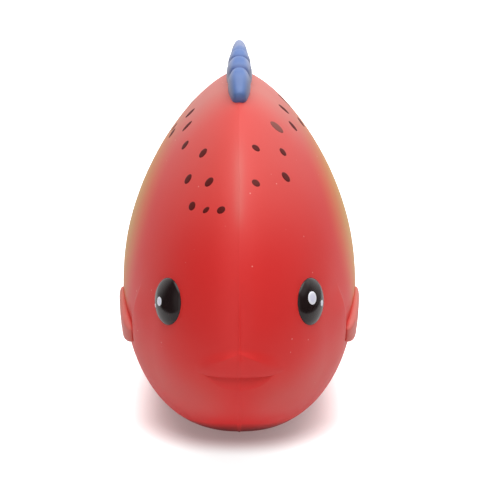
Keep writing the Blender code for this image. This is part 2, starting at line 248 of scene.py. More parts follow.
TAIL_KNUCKLE_WIDTH = 7.0 * MM
TAIL_KNUCKLE_HEIGHT = 16.4 * MM
TAIL_ROOT_SPREAD = 7.0 * MM
TAIL_SOCKET_SETBACK = 1.0 * MM
FIN_VOXEL = 0.24 * MM
FIN_SMOOTHING = 6

# Unit shapes of the lobes and rays, whose heights run from -1 at the root to 1 at the tip
LOBE_SIDES = 28
LOBE_ROWS = 24
RAY_SQUARENESS = 2.3
LEAF_SQUARENESS = 3.0
LEAF_ROOT = 0.4
LEAF_ARCH_EXPONENTS = (1.9, 0.62)
LEAF_WIDTH_EXPONENTS = (2.0, 0.55)
LEAF_NARROWING = 0.35
LEAF_NARROW_FROM = 0.3
LEAF_NARROW_EXPONENT = 1.2
RAY_TIP = 0.4
RAY_SPREAD_LENGTH = 1.5
PADDLE_ROOT = 0.2
PADDLE_ROOT_WIDTH = 0.5
PETAL_ROOT = 0.5
PETAL_ROOT_WIDTH = 0.58
PETAL_THINNING = 0.2

# Places worked out from the sizes
SNOUT_Y = -OVERALL_LENGTH / 2
HEAD_Y = SNOUT_Y + LIP_REACH
WIDEST_Y = SNOUT_Y + SNOUT_TO_WIDEST
BACK_PEAK_Y = SNOUT_Y + SNOUT_TO_BACK_PEAK
TAIL_AXIS_Y = OVERALL_LENGTH / 2 - TAIL_LENGTH
BODY_END_Y = TAIL_AXIS_Y - TAIL_SOCKET_SETBACK
ROOT_END_Y = BODY_END_Y + ROOT_OVERRUN
GILL_CENTRE_Y = SNOUT_Y + SNOUT_TO_GILL - GILL_RADIUS
FLANK_X = BODY_WIDTH / 2 - FLANK_DEPTH
POCKET_X = FLANK_X - POCKET_GAP

# Sprayed patch of yellow along each flank: its middle, half length, half height and soft edge, and where
# it turns greener towards the tail
PATCH_Y = 8.0 * MM
PATCH_Z = 36.8 * MM
PATCH_HALF_LENGTH = 36.0 * MM
PATCH_HALF_HEIGHT = 32.0 * MM
PATCH_SOFT_SHARE = 0.5
PATCH_TURN_START = -15.0 * MM
PATCH_TURN_END = 12.0 * MM

# Where the red is thinner, up the forehead and along the back; where a reflection of the floor is painted
# low on the cheeks; and where highlights are painted on the ridge of the brow and at the rear edges of the
# gill covers
THIN_LOW = 46.0 * MM
THIN_HIGH = 66.0 * MM
THIN_FOREHEAD = 0.31
THIN_START = -22.0 * MM
THIN_LENGTH = 22.0 * MM
THIN_BACK = 1.1
CHEEK_SHEEN = 0.24
CHEEK_HEIGHT = 21.0 * MM
CHEEK_HALF_HEIGHT = 9.0 * MM
CHEEK_WIDTH = 8.0 * MM
CHEEK_END = -20.0 * MM
CHEEK_FADE = 10.0 * MM
RIDGE_HIGHLIGHT = 0.3
RIDGE_WIDTH = 1.0 * MM
RIDGE_LOW = 53.0 * MM
RIDGE_HIGH = 67.0 * MM
RIDGE_FADE = 5.0 * MM
RIM_HIGHLIGHT = 0.35
RIM_WIDTH = 0.5 * MM

# Shade painted underneath, as darker red where the skin faces the floor: by how far the skin faces down
# and how low it lies, and the shares of painted shade at which its deeper red is full and its dark tone
# starts
UNDER_START = 0.45
UNDER_RANGE = 0.39
UNDER_HEIGHT = 24.0 * MM
UNDER_FADE = 8.0 * MM
SHADE_RED_SHARE = 0.6
SHADE_DARK_START = 0.65

# Sizes of the patterns in the finishes: clouds in the paint, the breaks at the edge of the yellow spray,
# pale flecks, grains in the ink and the fine dimples of the moulded skin
FOAM_CLOUD_SIZE = 14.0 * MM
BLUE_CLOUD_SIZE = 5.0 * MM
ENAMEL_CLOUD_SIZE = 3.0 * MM
SPRAY_BREAK_SIZE = 4.0 * MM
FLECK_SPACING = 3.2 * MM
INK_GRAIN_SIZE = 0.5 * MM
FOAM_DIMPLE_SIZE = 0.8 * MM
BLUE_DIMPLE_SIZE = 0.7 * MM
DIMPLE_DEPTH = 0.03 * MM
DIMPLE_STRENGTH = 0.25

# Camera of the photograph, whose image is 480 pixels square
IMAGE_PIXELS = 480
FOCAL_PIXELS = 2170.0
CAMERA_ELEVATION = math.radians(25.0)
CAMERA_DISTANCE = 450.0 * MM
CAMERA_TARGET = Vector((0.14 * MM, -10.0 * MM, 36.0 * MM))
SENSOR_WIDTH = 36.0
CLIP_START = 10.0 * MM

# Ink spots seen on the back: column and row in the photograph, millimetres down the side and
# lengthwise, paleness
SPOTS = (
    (282, 98, 2.5, 1.0, 0.2), (287, 103, 2.2, 1.0, 0.3), (284, 109, 3.1, 1.3, 0.0),
    (301, 122, 2.5, 1.7, 0.0), (293, 126, 2.7, 1.5, 0.0), (277, 127, 3.5, 2.4, 0.6),
    (256, 148, 1.8, 1.5, 0.0), (283, 152, 1.9, 1.7, 0.0), (286, 177, 2.4, 1.9, 0.0),
    (256, 183, 1.8, 1.5, 0.1), (192, 102, 2.5, 1.0, 0.2), (190, 113, 2.8, 1.5, 0.0),
    (172, 125, 2.2, 1.0, 0.2), (187, 126, 3.0, 1.3, 0.0), (172, 133, 2.4, 1.6, 0.0),
    (185, 145, 2.2, 1.8, 0.0), (203, 153, 2.2, 1.9, 0.0), (188, 179, 2.2, 1.9, 0.0),
    (209, 182, 2.2, 1.8, 0.0), (192, 206, 1.8, 2.0, 0.0), (206, 210, 1.7, 1.1, 0.0),
    (221, 210, 1.8, 1.5, 0.0),
)
SPOT_SEED = 7
REAR_SPOTS = 22
REAR_SPOT_TRIES = 4000
REAR_SPOT_START = 8.0 * MM
REAR_SPOT_LENGTH = 20.0 * MM
REAR_SPOT_DIAMETER = 1.7 * MM
REAR_SPOT_SPACING = 3.6 * MM
REAR_SPOT_DROPS = (0.06, 0.3)
REAR_SPOT_SIZES = (0.8, 1.15)
REAR_SPOT_STRETCHES = (1.1, 1.5)
SPOT_TURN = math.radians(15.0)
SPOT_LIFT = 0.05 * MM
DISC_RINGS = 6
DISC_SIDES = 28
DISC_FLATNESS = 4

# White highlights printed on the eyes: column and row in the photograph, diameter in millimetres
EYE_PRINTS = {
    RIGHT: ((159.1, 301.3, 1.8), (155.3, 305.4, 0.8)),
    LEFT: ((312.6, 298.0, 2.6), (322.0, 303.1, 1.2)),
}
PRINT_LIFT = 0.04 * MM

# Studio: the direction and level of each soft panel of light, and how wide the panels are
PANELS = (
    ((0.0, 0.0, 1.0), 3.72),
    ((0.62, 0.0, 0.78), 0.88),
    ((0.0, 0.95, 0.3), 0.5),
    ((0.68, 0.68, 0.25), 0.65),
    ((-0.6, 0.78, 0.2), 0.98),
    ((0.0, -0.95, 0.3), 0.67),
    ((-0.62, -0.72, 0.3), 0.4),
    ((0.5, 0.75, 0.45), 0.6),
)
PANEL_EDGE = math.radians(42.0)
PANEL_CORE = math.radians(14.0)
FLOOR_WIDTH = 0.24
FLOOR_LENGTH = 0.9
FLOOR_COLOUR = "#DEDEDE"

# Shadow painted on the paper round the fish, as a dimmer and pinker glow seen by the camera alone: the
# ends of its middle line, its reach from there, where it starts and ends fading, the paper's glow and the
# painted shadow's pink
SHADOW_FRONT = (0.0, -20.0 * MM, 0.0)
SHADOW_REAR = (0.0, 22.0 * MM, 0.0)
SHADOW_REACH = (26.0 * MM, 16.6 * MM, 1.0)
SHADOW_FADE_START = 0.55
SHADOW_FADE_END = 1.05
SHADOW_GLOW = 0.25
PAPER_GLOW = 0.85
SHADOW_TINT = "#FFD2D2"


def linear(hex_colour):
    """Linear RGBA of an sRGB hex colour."""
    values = [int(hex_colour[i:i + 2], 16) / 255.0 for i in (1, 3, 5)]
    return [v / 12.92 if v <= 0.04045 else ((v + 0.055) / 1.055) ** 2.4 for v in values] + [1.0]


def set_inputs(tree, node, inputs):
    """Sets a node's inputs to values, or links them to sockets."""
    for key, value in inputs.items():
        if isinstance(value, bpy.types.NodeSocket):
            tree.links.new(value, node.inputs[key])
        else:
            node.inputs[key].default_value = value


def add_node(tree, kind, inputs=None, **settings):
    """Adds a node with its properties and inputs."""
    node = tree.nodes.new(kind)
    for name, value in settings.items():
        setattr(node, name, value)
    set_inputs(tree, node, inputs or {})
    return node


def smooth_step(value):
    """Eases from 0 to 1 as the value goes from 0 to 1."""
    value = np.clip(value, 0.0, 1.0)
    return value * value * (3.0 - 2.0 * value)


def coordinates(mesh):
    points = np.empty(len(mesh.vertices) * 3, np.float32)
    mesh.vertices.foreach_get("co", points)
    return points.reshape(-1, 3).astype(float)


def set_coordinates(mesh, points):
    mesh.vertices.foreach_set("co", np.asarray(points, np.float32).ravel())
    mesh.update()


def set_values(mesh, name, values):
    """Keeps one number per vertex for the materials."""
    attribute = mesh.attributes.new(name, "FLOAT", "POINT")
    attribute.data.foreach_set("value", np.asarray(values, np.float32))


def new_mesh(name, verts, faces):
    mesh = bpy.data.meshes.new(name)
    mesh.from_pydata(verts, [], faces)
    mesh.shade_smooth()
    return mesh


def surface_of(mesh):
    """Faces of a mesh, for rays and nearest places."""
    return BVHTree.FromPolygons([v.co for v in mesh.vertices], [p.vertices for p in mesh.polygons])


def ring_faces(rows, columns):
    """Quads between closed rings of points, row after row."""
    faces = []
    for row in range(rows - 1):
        low = row * columns
        high = low + columns
        for column in range(columns):
            after = (column + 1) % columns
            faces.append((low + column, low + after, high + after, high + column))
    return faces


def closed_rings(name, rings, first, last):
    """Closed mesh of rings of points that run anticlockwise round their axis, with a point at each end."""
    rows, columns = rings.shape[:2]
    verts = rings.reshape(-1, 3).tolist() + [list(first), list(last)]
    top = (rows - 1) * columns
    faces = ring_faces(rows, columns)
    for column in range(columns):
        after = (column + 1) % columns
        faces.append((rows * columns, after, column))
        faces.append((top + column, top + after, rows * columns + 1))
    return new_mesh(name, verts, faces)


def add_piece(name, mesh, material):
    """A finished piece at the origin."""
    piece = bpy.data.objects.new(name, mesh)
    bpy.context.scene.collection.objects.link(piece)
    mesh.materials.clear()
    mesh.materials.append(material)
    return piece


# Body form


def lengthwise(y, peak_y, at_head, at_peak, at_tail, exponent, late=1.0):
    """A size of the body that grows from the head to a peak and eases down to the tail root."""
    ahead = np.clip((peak_y - y) / (peak_y - HEAD_Y), 0.0, 1.0)
    behind = np.clip((y - peak_y) / (BODY_END_Y - peak_y), 0.0, 1.0) ** late
    front = at_head + (at_peak - at_head) * (1.0 - ahead ** exponent) ** (1.0 / exponent)
    rear = at_tail + (at_peak - at_tail) * (0.5 + 0.5 * np.cos(np.pi * behind))
    return np.where(y < peak_y, front, rear)


def body_section(y):
    """Top, bottom, half width and height of the widest line of the body at y."""
    root_top = TAIL_ROOT_MIDDLE + TAIL_ROOT_HEIGHT / 2
    root_bottom = TAIL_ROOT_MIDDLE - TAIL_ROOT_HEIGHT / 2
    top = lengthwise(y, BACK_PEAK_Y, SNOUT_HEIGHT, BACK_HEIGHT, root_top, BACK_LENGTHWISE_EXPONENT,
                     REAR_BACK_EXPONENT)
    bottom = lengthwise(y, WIDEST_Y, SNOUT_HEIGHT, -BELLY_FLAT_DEPTH, root_bottom,
                        BELLY_LENGTHWISE_EXPONENT, REAR_BELLY_EXPONENT)
    half = lengthwise(y, WIDEST_Y, 0.0, BODY_WIDTH / 2, TAIL_ROOT_WIDTH / 2, SIDE_LENGTHWISE_EXPONENT)
    widest = lengthwise(y, WIDEST_Y, SNOUT_HEIGHT, WIDEST_HEIGHT, TAIL_ROOT_MIDDLE,
                        WIDEST_LENGTHWISE_EXPONENT)
    past = np.clip((y - ROOT_END_Y) / ROOT_ROUNDING + 1.0, 0.0, 1.0)
    rounding = np.sqrt(1.0 - past ** 2)
    top = np.where(past > 0.0, TAIL_ROOT_MIDDLE + (top - TAIL_ROOT_MIDDLE) * rounding, top)
    bottom = np.where(past > 0.0, TAIL_ROOT_MIDDLE + (bottom - TAIL_ROOT_MIDDLE) * rounding, bottom)
    return top, bottom, half * rounding, widest


def side_x(y, z):
    """Half width of the body at y and z."""
    top, bottom, half, widest = body_section(y)
    high = np.clip((z - widest) / np.maximum(top - widest, TINY), 0.0, 1.0)
    low = np.clip((widest - z) / np.maximum(widest - bottom, TINY), 0.0, 1.0)
    upper = half * (1.0 - high ** BACK_UPRIGHT_EXPONENT) ** (1.0 / BACK_CROSSWISE_EXPONENT)
    lower = half * (1.0 - low ** BELLY_CROSSWISE_EXPONENT) ** (1.0 / BELLY_CROSSWISE_EXPONENT)
    return np.where(z >= widest, upper, lower)


def slice_end(z, inside, outside):
    """Where the body's level slice at z ends, between a place inside it and one outside it."""
    inside = np.zeros_like(z) + inside
    outside = np.zeros_like(z) + outside
    for _ in range(HALVINGS):
        middle = (inside + outside) / 2
        top, bottom = body_section(middle)[:2]
        within = (z < top) & (z > bottom)
        inside = np.where(within, middle, inside)
        outside = np.where(within, outside, middle)
    return inside


def gill_edge_y(z):
    """Round rear edge of the gill cover, seen from the side."""
    rise = np.clip(z - GILL_HEIGHT, -GILL_SEAM_HEIGHT / 2, GILL_SEAM_HEIGHT / 2)
    return GILL_CENTRE_Y + np.sqrt(GILL_RADIUS ** 2 - rise ** 2)


def gill_fade(z):
    """1 beside the middle of the gill cover's edge, easing to 0 at the edge's ends."""
    return smooth_step((GILL_EDGE_HEIGHT / 2 - np.abs(z - GILL_SWELL_MIDDLE)) / GILL_FADE_LENGTH)


def gill_relief(y, z):
    """How far the gill cover stands out of the head, with a crisp rear edge."""
    reach = np.hypot(y - GILL_CENTRE_Y, z - GILL_HEIGHT)
    rise = smooth_step(1.0 - (GILL_RADIUS - reach) / GILL_SWELL_LENGTH)
    edge = smooth_step((gill_edge_y(z) + GILL_EDGE_SHIFT - y) / GILL_EDGE_ROUND)
    return GILL_SWELL * rise * gill_fade(z) * edge


def lip_relief(x, z):
    """How far the lips stand out: a soft upper lip under a fine beak, over a hollow lower one."""
    across = np.clip(1.0 - (2.0 * x / MOUTH_WIDTH) ** 2, 0.0, 1.0)
    lip_across = np.clip(1.0 - (2.0 * x / LIP_WIDTH) ** 2, 0.0, 1.0)
    above = z - MOUTH_HEIGHT
    ridge = np.maximum(LIP_RISE * lip_across, TINY)
    swell = LIP_SWELL * lip_across * smooth_step(1.0 - (above - ridge) / LIP_FADE)
    tuck = 1.0 - LIP_TUCK_SHARE * np.clip(1.0 - above / ridge, 0.0, 1.0) ** 2
    roll = 1.0 - LIP_ROLL_SHARE * across * np.clip(1.0 - above / LIP_ROLL, 0.0, 1.0) ** 2
    aside = np.abs(2.0 * x / BEAK_WIDTH)
    from_beak = above - BEAK_RISE + BEAK_FALL * aside
    beak_across = smooth_step((1.0 - aside) / BEAK_END_SHARE)
    beak = BEAK_REACH * np.exp(-(from_beak / BEAK_ROUND) ** 2) * beak_across
    depth = np.maximum(LOWER_LIP_HEIGHT * across, TINY)
    hollow = LOWER_LIP_HOLLOW * across * np.clip(1.0 + above / depth, 0.0, 1.0) ** LOWER_LIP_EXPONENT
    share = smooth_step(0.5 + above / MOUTH_EDGE)
    below = swell * tuck * (1.0 - across) * smooth_step(1.0 + above / LIP_FADE)
    return (swell * tuck * roll + beak) * share + (below - hollow) * (1.0 - share)


def mouth_droop(points):
    """How far the mouth and the skin near it sink towards the corners of the mouth."""
    x, y, z = np.moveaxis(points, -1, 0)
    aside = np.abs(2.0 * x / MOUTH_WIDTH)
    near = np.exp(-((z - MOUTH_HEIGHT) / MOUTH_DROOP_HEIGHT) ** 2) * (y < WIDEST_Y)
    return MOUTH_DROOP * smooth_step(aside) * smooth_step(MOUTH_DROOP_END - aside) * near


def skin_relief(points):
    """Relief of the moulding on the smooth body form."""
    x, y, z = np.moveaxis(points, -1, 0)
    face = smooth_step((HEAD_Y + FACE_LENGTH - y) / FACE_FADE)
    sharp = BEAD_LOW_SHARE + (1.0 - BEAD_LOW_SHARE) * smooth_step((BEAD_TOP - z) / BEAD_FADE)
    bead = BEAD_HEIGHT * sharp * np.exp(-(2.0 * x / BEAD_WIDTH) ** 2)
    brow = smooth_step((z - CREST_LOW) / CREST_FADE) * smooth_step((CREST_HIGH - z) / CREST_FADE)
    crest = CREST_ROUND * np.exp(-(2.0 * x / CREST_WIDTH) ** 2) * brow
    waves = [noise.noise(Vector(point) / WAVE_LENGTH) for point in points.reshape(-1, 3)]
    wave = WAVE_HEIGHT * np.array(waves).reshape(x.shape)
    relief = gill_relief(y, z) + lip_relief(x, z) * face + bead - crest + wave
    return relief * smooth_step(z / FLOOR_FADE)


# Skin mesh


def row_heights():
    """Heights of the skin's rows, closer together at the mouth line, the back and the belly."""

    def spacing(z):
        at_mouth = MOUTH_ROW_STEP + MOUTH_ROW_GROWTH * abs(z - MOUTH_HEIGHT)
        at_back = BACK_ROW_STEP + BACK_ROW_GROWTH * (BACK_HEIGHT - z)
        at_belly = BELLY_ROW_STEP + BELLY_ROW_GROWTH * z
        return min(ROW_STEP, at_mouth, at_back, at_belly)

    above = [MOUTH_HEIGHT]
    while above[-1] < BACK_HEIGHT - BACK_ROW_MARGIN:
        above.append(above[-1] + spacing(above[-1]))
    below = [MOUTH_HEIGHT]
    while below[-1] > BELLY_ROW_MARGIN:
        below.append(below[-1] - spacing(below[-1]))
    heights = [0.0] + below[:0:-1] + above
    return np.array([z for z in heights if 0.0 <= z < BACK_HEIGHT - BACK_ROW_LIMIT])


def skin_grid():
    """Rings of skin points at each height, from the snout along the left side and back along the right."""
    z = row_heights()[:, None]
    axis_y = WIDEST_Y + (BACK_PEAK_Y - WIDEST_Y) * z / BACK_HEIGHT
    front = slice_end(z, axis_y, HEAD_Y)
    rear = slice_end(z, axis_y, ROOT_END_Y)
    seam_z = np.clip(z, GILL_HEIGHT - GILL_SEAM_HEIGHT / 2, GILL_HEIGHT + GILL_SEAM_HEIGHT / 2)
    seam_front = slice_end(seam_z, axis_y, HEAD_Y)
    seam_share = (gill_edge_y(seam_z) - seam_front) / (axis_y - seam_front)
    seam = front + seam_share * (axis_y - front)
    step = GILL_EDGE_ROUND
    lead = np.linspace(0.0, 1.0, HEAD_COLUMNS)[None, :] ** HEAD_CROWDING
    trail = np.linspace(0.0, 1.0, FLANK_COLUMNS)[None, :]
    head = front + (seam - step - front) * (1.0 - np.cos(np.pi / 2 * lead))
    edge = seam + step * np.array([GILL_EDGE_SHARES])
    flank = seam + step + (rear - seam - step) * np.sin(np.pi / 2 * trail)
    y = np.concatenate([head, edge, flank], axis=1)
    z = np.broadcast_to(z, y.shape)
    x = side_x(y, z)
    x[:, 0] = 0.0
    x[:, -1] = 0.0
    left = np.stack([x, y, z], axis=-1)
    right = left[:, -2:0:-1] * np.array([-1.0, 1.0, 1.0])
    return np.concatenate([left, right], axis=1)


def grid_normals(points):
    """Outward directions of a grid of rings."""
    along = np.roll(points, -1, axis=1) - np.roll(points, 1, axis=1)
    normals = np.cross(along, np.gradient(points, axis=0))
    return normals / np.maximum(np.linalg.norm(normals, axis=-1, keepdims=True), TINY)


def skin_mesh():
    """The whole foam skin as one closed mesh, flat underneath, with the faces behind the gills marked."""
    points = skin_grid()
    points = points + grid_normals(points) * skin_relief(points)[..., None]
    points[..., 2] -= mouth_droop(points)
    points[0, :, 2] = 0.0
    centre = np.array([0.0, points[0, :, 1].mean(), 0.0])
    shares = np.arange(1, FLOOR_RINGS + 1)[:, None, None] / (FLOOR_RINGS + 1)
    rings = np.concatenate([centre + (points[:1] - centre) * shares, points], axis=0)
    mesh = closed_rings("foam_skin", rings, centre, (0.0, BACK_PEAK_Y, BACK_HEIGHT))
    rows, columns = rings.shape[:2]
    column = np.arange(columns)
    behind = np.minimum(column, columns - 1 - column) >= HEAD_COLUMNS + len(GILL_EDGE_SHARES) - 1
    marks = np.zeros(len(mesh.polygons), np.int32)
    marks[:(rows - 1) * columns] = np.tile(behind, rows - 1)
    mesh.attributes.new("behind_gill", "INT", "FACE").data.foreach_set("value", marks)
    return mesh


def close_cut(bm, side, depth_x):
    """Closes one side's open edge of a cut skin with a wall that runs level to a flat at x = depth_x."""
    rim = [e for e in bm.edges if e.is_boundary and side * e.verts[0].co.x > 0.0]
    grown = bmesh.ops.extrude_edge_only(bm, edges=rim)["geom"]
    walls = [item for item in grown if isinstance(item, bmesh.types.BMFace)]
    moved = [item for item in grown if isinstance(item, bmesh.types.BMVert)]
    for vert in moved:
        vert.co.x = side * depth_x
    near = moved + [vert for edge in rim for vert in edge.verts]
    bmesh.ops.remove_doubles(bm, verts=list(set(near)), dist=WELD)
    hole = [e for e in bm.edges if e.is_boundary and side * e.verts[0].co.x > 0.0]
    floor = bmesh.ops.holes_fill(bm, edges=hole, sides=0)["faces"]
    return [face for face in walls if face.is_valid] + floor


def pad_side(face, behind):
    """Side of the flank pad that a face of the skin belongs to, or MIDDLE for the body."""
    x = face.calc_center_median().x
    if not face[behind] or abs(x) <= FLANK_X:
        return MIDDLE
    return LEFT if x > 0.0 else RIGHT


def cut_piece(name, skin, normals, part, closings):
    """A flank pad or the body, cut from the skin, closed at its cuts and shaded as the uncut skin is."""
    bm = bmesh.new()
    bm.from_mesh(skin)
    shading = bm.verts.layers.float_vector.new("shading")
    for vert, normal in zip(bm.verts, normals):
        vert[shading] = normal
    behind = bm.faces.layers.int["behind_gill"]
    for side in (LEFT, RIGHT):
        faces = [face for face in bm.faces if face[behind]]
        geom = set(faces)
        for face in faces:
            geom.update(face.edges)
            geom.update(face.verts)
        bmesh.ops.bisect_plane(bm, geom=list(geom), plane_co=(side * FLANK_X, 0, 0), plane_no=(1, 0, 0))
    dropped = [face for face in bm.faces if pad_side(face, behind) != part]
    bmesh.ops.delete(bm, geom=dropped, context="FACES")
    inner = []
    for side, depth_x in closings:
        inner += close_cut(bm, side, depth_x)
    for face in inner:
        face.smooth = False
        for edge in face.edges:
            edge.smooth = False
    bmesh.ops.recalc_face_normals(bm, faces=bm.faces)
    bm.faces.index_update()
    hidden = {face.index for face in inner}
    mesh = bpy.data.meshes.new(name)
    bm.to_mesh(mesh)
    directions = [Vector(vert[shading]).normalized() for vert in bm.verts]
    bm.free()
    loops = []
    for polygon in mesh.polygons:
        for vertex in polygon.vertices:
            loops.append((0.0, 0.0, 0.0) if polygon.index in hidden else directions[vertex])
    mesh.normals_split_custom_set(loops)
    mesh.attributes.remove(mesh.attributes["shading"])
    mesh.attributes.remove(mesh.attributes["behind_gill"])
    points = coordinates(mesh)
    set_values(mesh, "flank", flank_share(points))
    # Paleness: thin red, with a painted floor reflection on the cheeks and painted highlights on the ridge
    # and gill edges
    set_values(mesh, "pale_paint_and_sheen", pale_paint_and_sheen_share(points))
    # Painted shade under the belly, where the skin faces the floor
    set_values(mesh, "painted_shade", painted_shade_share(points, np.array(directions)))
    return mesh


def flank_share(points):
    """How much of the flank's yellow the spray left at each point."""
    along = (points[:, 1] - PATCH_Y) / PATCH_HALF_LENGTH
    up = (points[:, 2] - PATCH_Z) / PATCH_HALF_HEIGHT
    return smooth_step((1.0 - np.hypot(along, up)) / PATCH_SOFT_SHARE)


def pale_paint_and_sheen_share(points):
    """How pale each point is: thinner red where the pale foam shows through, a painted reflection of the
    floor low on the cheeks, and painted highlights on the brow's ridge and the gill covers' edges.
    """
    x, y, z = points.T
    high = smooth_step((z - THIN_LOW) / (THIN_HIGH - THIN_LOW))
    aft = smooth_step((y - THIN_START) / THIN_LENGTH)
    # Painted reflection of the white floor: paler red low on the cheeks
    level = smooth_step(1.0 - np.abs(z - CHEEK_HEIGHT) / CHEEK_HALF_HEIGHT)
    aside = smooth_step(np.abs(x) / CHEEK_WIDTH)
    ahead = smooth_step((CHEEK_END - y) / CHEEK_FADE)
    cheek = CHEEK_SHEEN * level * aside * ahead
    # Painted highlight: a pale band down the crest of the brow
    brow = smooth_step((z - RIDGE_LOW) / RIDGE_FADE) * smooth_step((RIDGE_HIGH - z) / RIDGE_FADE)
    ridge = RIDGE_HIGHLIGHT * np.exp(-(x / RIDGE_WIDTH) ** 2) * brow
    # Painted highlight: a pale line along the rear edge of each gill cover
    behind_rim = (y - gill_edge_y(z)) / RIM_WIDTH
    rim = RIM_HIGHLIGHT * np.exp(-behind_rim ** 2) * gill_fade(z)
    return (THIN_FOREHEAD + THIN_BACK * aft) * high + cheek + ridge + rim


def painted_shade_share(points, normals):
    """How much painted shade each point takes, where the skin faces the floor low down."""
    low = smooth_step((UNDER_HEIGHT - points[:, 2]) / UNDER_FADE)
    return smooth_step((-normals[:, 2] - UNDER_START) / UNDER_RANGE) * low


# Shapes set on points


def shape_tree():
    """Tree that sets one shape on every point, turned and sized by the point's own attributes."""
    tree = bpy.data.node_groups.new("shape_on_points", "GeometryNodeTree")
    for name, kind in (("Points", "Geometry"), ("Shape", "Object"), ("Material", "Material")):
        tree.interface.new_socket(name, in_out="INPUT", socket_type=f"NodeSocket{kind}")
    tree.interface.new_socket("Mesh", in_out="OUTPUT", socket_type="NodeSocketGeometry")
    given = add_node(tree, "NodeGroupInput").outputs
    shape = add_node(tree, "GeometryNodeObjectInfo", {"Object": given["Shape"]})
    turn = add_node(tree, "GeometryNodeInputNamedAttribute", {"Name": "turn"}, data_type="FLOAT_VECTOR")
    size = add_node(tree, "GeometryNodeInputNamedAttribute", {"Name": "size"}, data_type="FLOAT_VECTOR")
    rotation = add_node(tree, "FunctionNodeEulerToRotation", {"Euler": turn.outputs["Attribute"]})
    copies = add_node(tree, "GeometryNodeInstanceOnPoints", {
        "Points": given["Points"], "Instance": shape.outputs["Geometry"],
        "Rotation": rotation.outputs["Rotation"], "Scale": size.outputs["Attribute"]})
    real = add_node(tree, "GeometryNodeRealizeInstances", {"Geometry": copies.outputs["Instances"]})
    coated = add_node(tree, "GeometryNodeSetMaterial", {
        "Geometry": real.outputs["Geometry"], "Material": given["Material"]})
    add_node(tree, "NodeGroupOutput", {"Mesh": coated.outputs["Geometry"]})
    return tree


def shapes_on_points(name, tree, shape, places, material, voxel=0.0, smoothing=FIN_SMOOTHING):
    """Mesh of a shape set at places (point, turn, size), grown into one skin if a voxel size is given."""
    mesh = bpy.data.meshes.new(f"{name}_points")
    points, turns, sizes = zip(*places)
    mesh.from_pydata([tuple(point) for point in points], [], [])
    for label, values in (("turn", turns), ("size", sizes)):
        attribute = mesh.attributes.new(label, "FLOAT_VECTOR", "POINT")
        attribute.data.foreach_set("vector", np.array(values, np.float32).ravel())
    template = bpy.data.objects.new(f"{name}_shape", shape)
    scatter = bpy.data.objects.new(f"{name}_scatter", mesh)
    for item in (template, scatter):
        bpy.context.scene.collection.objects.link(item)
    modifier = scatter.modifiers.new("shapes", "NODES")
    modifier.node_group = tree
    inputs = {item.name: item.identifier for item in tree.interface.items_tree if item.in_out == "INPUT"}
    modifier[inputs["Shape"]] = template
    modifier[inputs["Material"]] = material
    if voxel:
        union = scatter.modifiers.new("union", "REMESH")
        union.mode = "VOXEL"
        union.voxel_size = voxel
        soften = scatter.modifiers.new("soften", "SMOOTH")
        soften.iterations = smoothing
    depsgraph = bpy.context.evaluated_depsgraph_get()
    result = bpy.data.meshes.new_from_object(scatter.evaluated_get(depsgraph))
    for item in (template, scatter):
        bpy.data.objects.remove(item)
    for label in ("turn", "size"):
        if label in result.attributes:
            result.attributes.remove(result.attributes[label])
    result.name = name
    result.shade_smooth()
    return result


def lobe_heights():
    """Heights of a unit lobe's rings, closer together at its ends."""
    return np.cos(np.linspace(np.pi, 0.0, LOBE_ROWS)[1:-1])


def rounded_end(height, length):
    """Shares of the full size towards an end at height 1, which is round over a length."""
    return np.sqrt(np.clip(1.0 - (np.clip(height - 1.0 + length, 0.0, 1.0) / length) ** 2, 0.0, 1.0))


def lobe_mesh(name, half_width, half_thickness, height, squareness=RAY_SQUARENESS):
    """A lobe of unit half sizes along Z, from widths and thicknesses at its heights."""
    angle = np.linspace(0.0, 2.0 * np.pi, LOBE_SIDES, endpoint=False)[None, :]
    square = 2.0 / squareness
    x = half_thickness[:, None] * np.sign(np.cos(angle)) * np.abs(np.cos(angle)) ** square
    y = half_width[:, None] * np.sign(np.sin(angle)) * np.abs(np.sin(angle)) ** square
    rings = np.stack([x, y, np.broadcast_to(height[:, None], x.shape)], axis=-1)
    return closed_rings(name, rings, (0.0, 0.0, -1.0), (0.0, 0.0, 1.0))


def leaf_mesh():
    """Lobe like a shield: its face narrows to the root and ends in a rounded arch at the tip."""
    height = lobe_heights()
    root = rounded_end(-height, LEAF_ROOT)
    above = np.clip(height, 0.0, 1.0)
    rise, fall = LEAF_ARCH_EXPONENTS
    arch = (1.0 - above ** rise) ** fall
    narrowing = LEAF_NARROWING * np.clip(LEAF_NARROW_FROM - height, 0.0, 1.0) ** LEAF_NARROW_EXPONENT
    rise, fall = LEAF_WIDTH_EXPONENTS
    width = (1.0 - above ** rise) ** fall * root
    return lobe_mesh("leaf", width, arch * (1.0 - narrowing) * root, height, LEAF_SQUARENESS)


def ray_spread(height, root_width):
    """Widths of a ray that spreads from its root to its tip."""
    return root_width + (1.0 - root_width) * smooth_step((height + 1.0) / RAY_SPREAD_LENGTH)


def paddle_mesh():
    """Ray that widens from a slim root to a blunt round tip."""
    height = lobe_heights()
    spread = ray_spread(height, PADDLE_ROOT_WIDTH)
    radius = spread * rounded_end(height, RAY_TIP) * rounded_end(-height, PADDLE_ROOT)
    return lobe_mesh("paddle", radius, radius, height)


def petal_mesh():
    """Ray that is fullest near its rounded root and thins out to a blunt round tip."""
    height = lobe_heights()
    ends = rounded_end(height, RAY_TIP) * rounded_end(-height, PETAL_ROOT)
    width = ray_spread(height, PETAL_ROOT_WIDTH) * ends
    thickness = (1.0 - PETAL_THINNING * (height + 1.0)) * ends
    return lobe_mesh("petal", width, thickness, height)


def crease_values(points, places):
    """Near 1 in the creases between neighbouring lobes and 0 on their faces."""
    depths = []
    for point, turn, size in places:
        local = (points - np.array(point)) @ np.array(Matrix.Rotation(turn[0], 3, "X"))
        depths.append(np.linalg.norm(local / np.array(size), axis=1))
    nearest = np.sort(np.array(depths), axis=0)
    return smooth_step(1.0 - (nearest[1] - nearest[0]) / CREASE_SHARE)


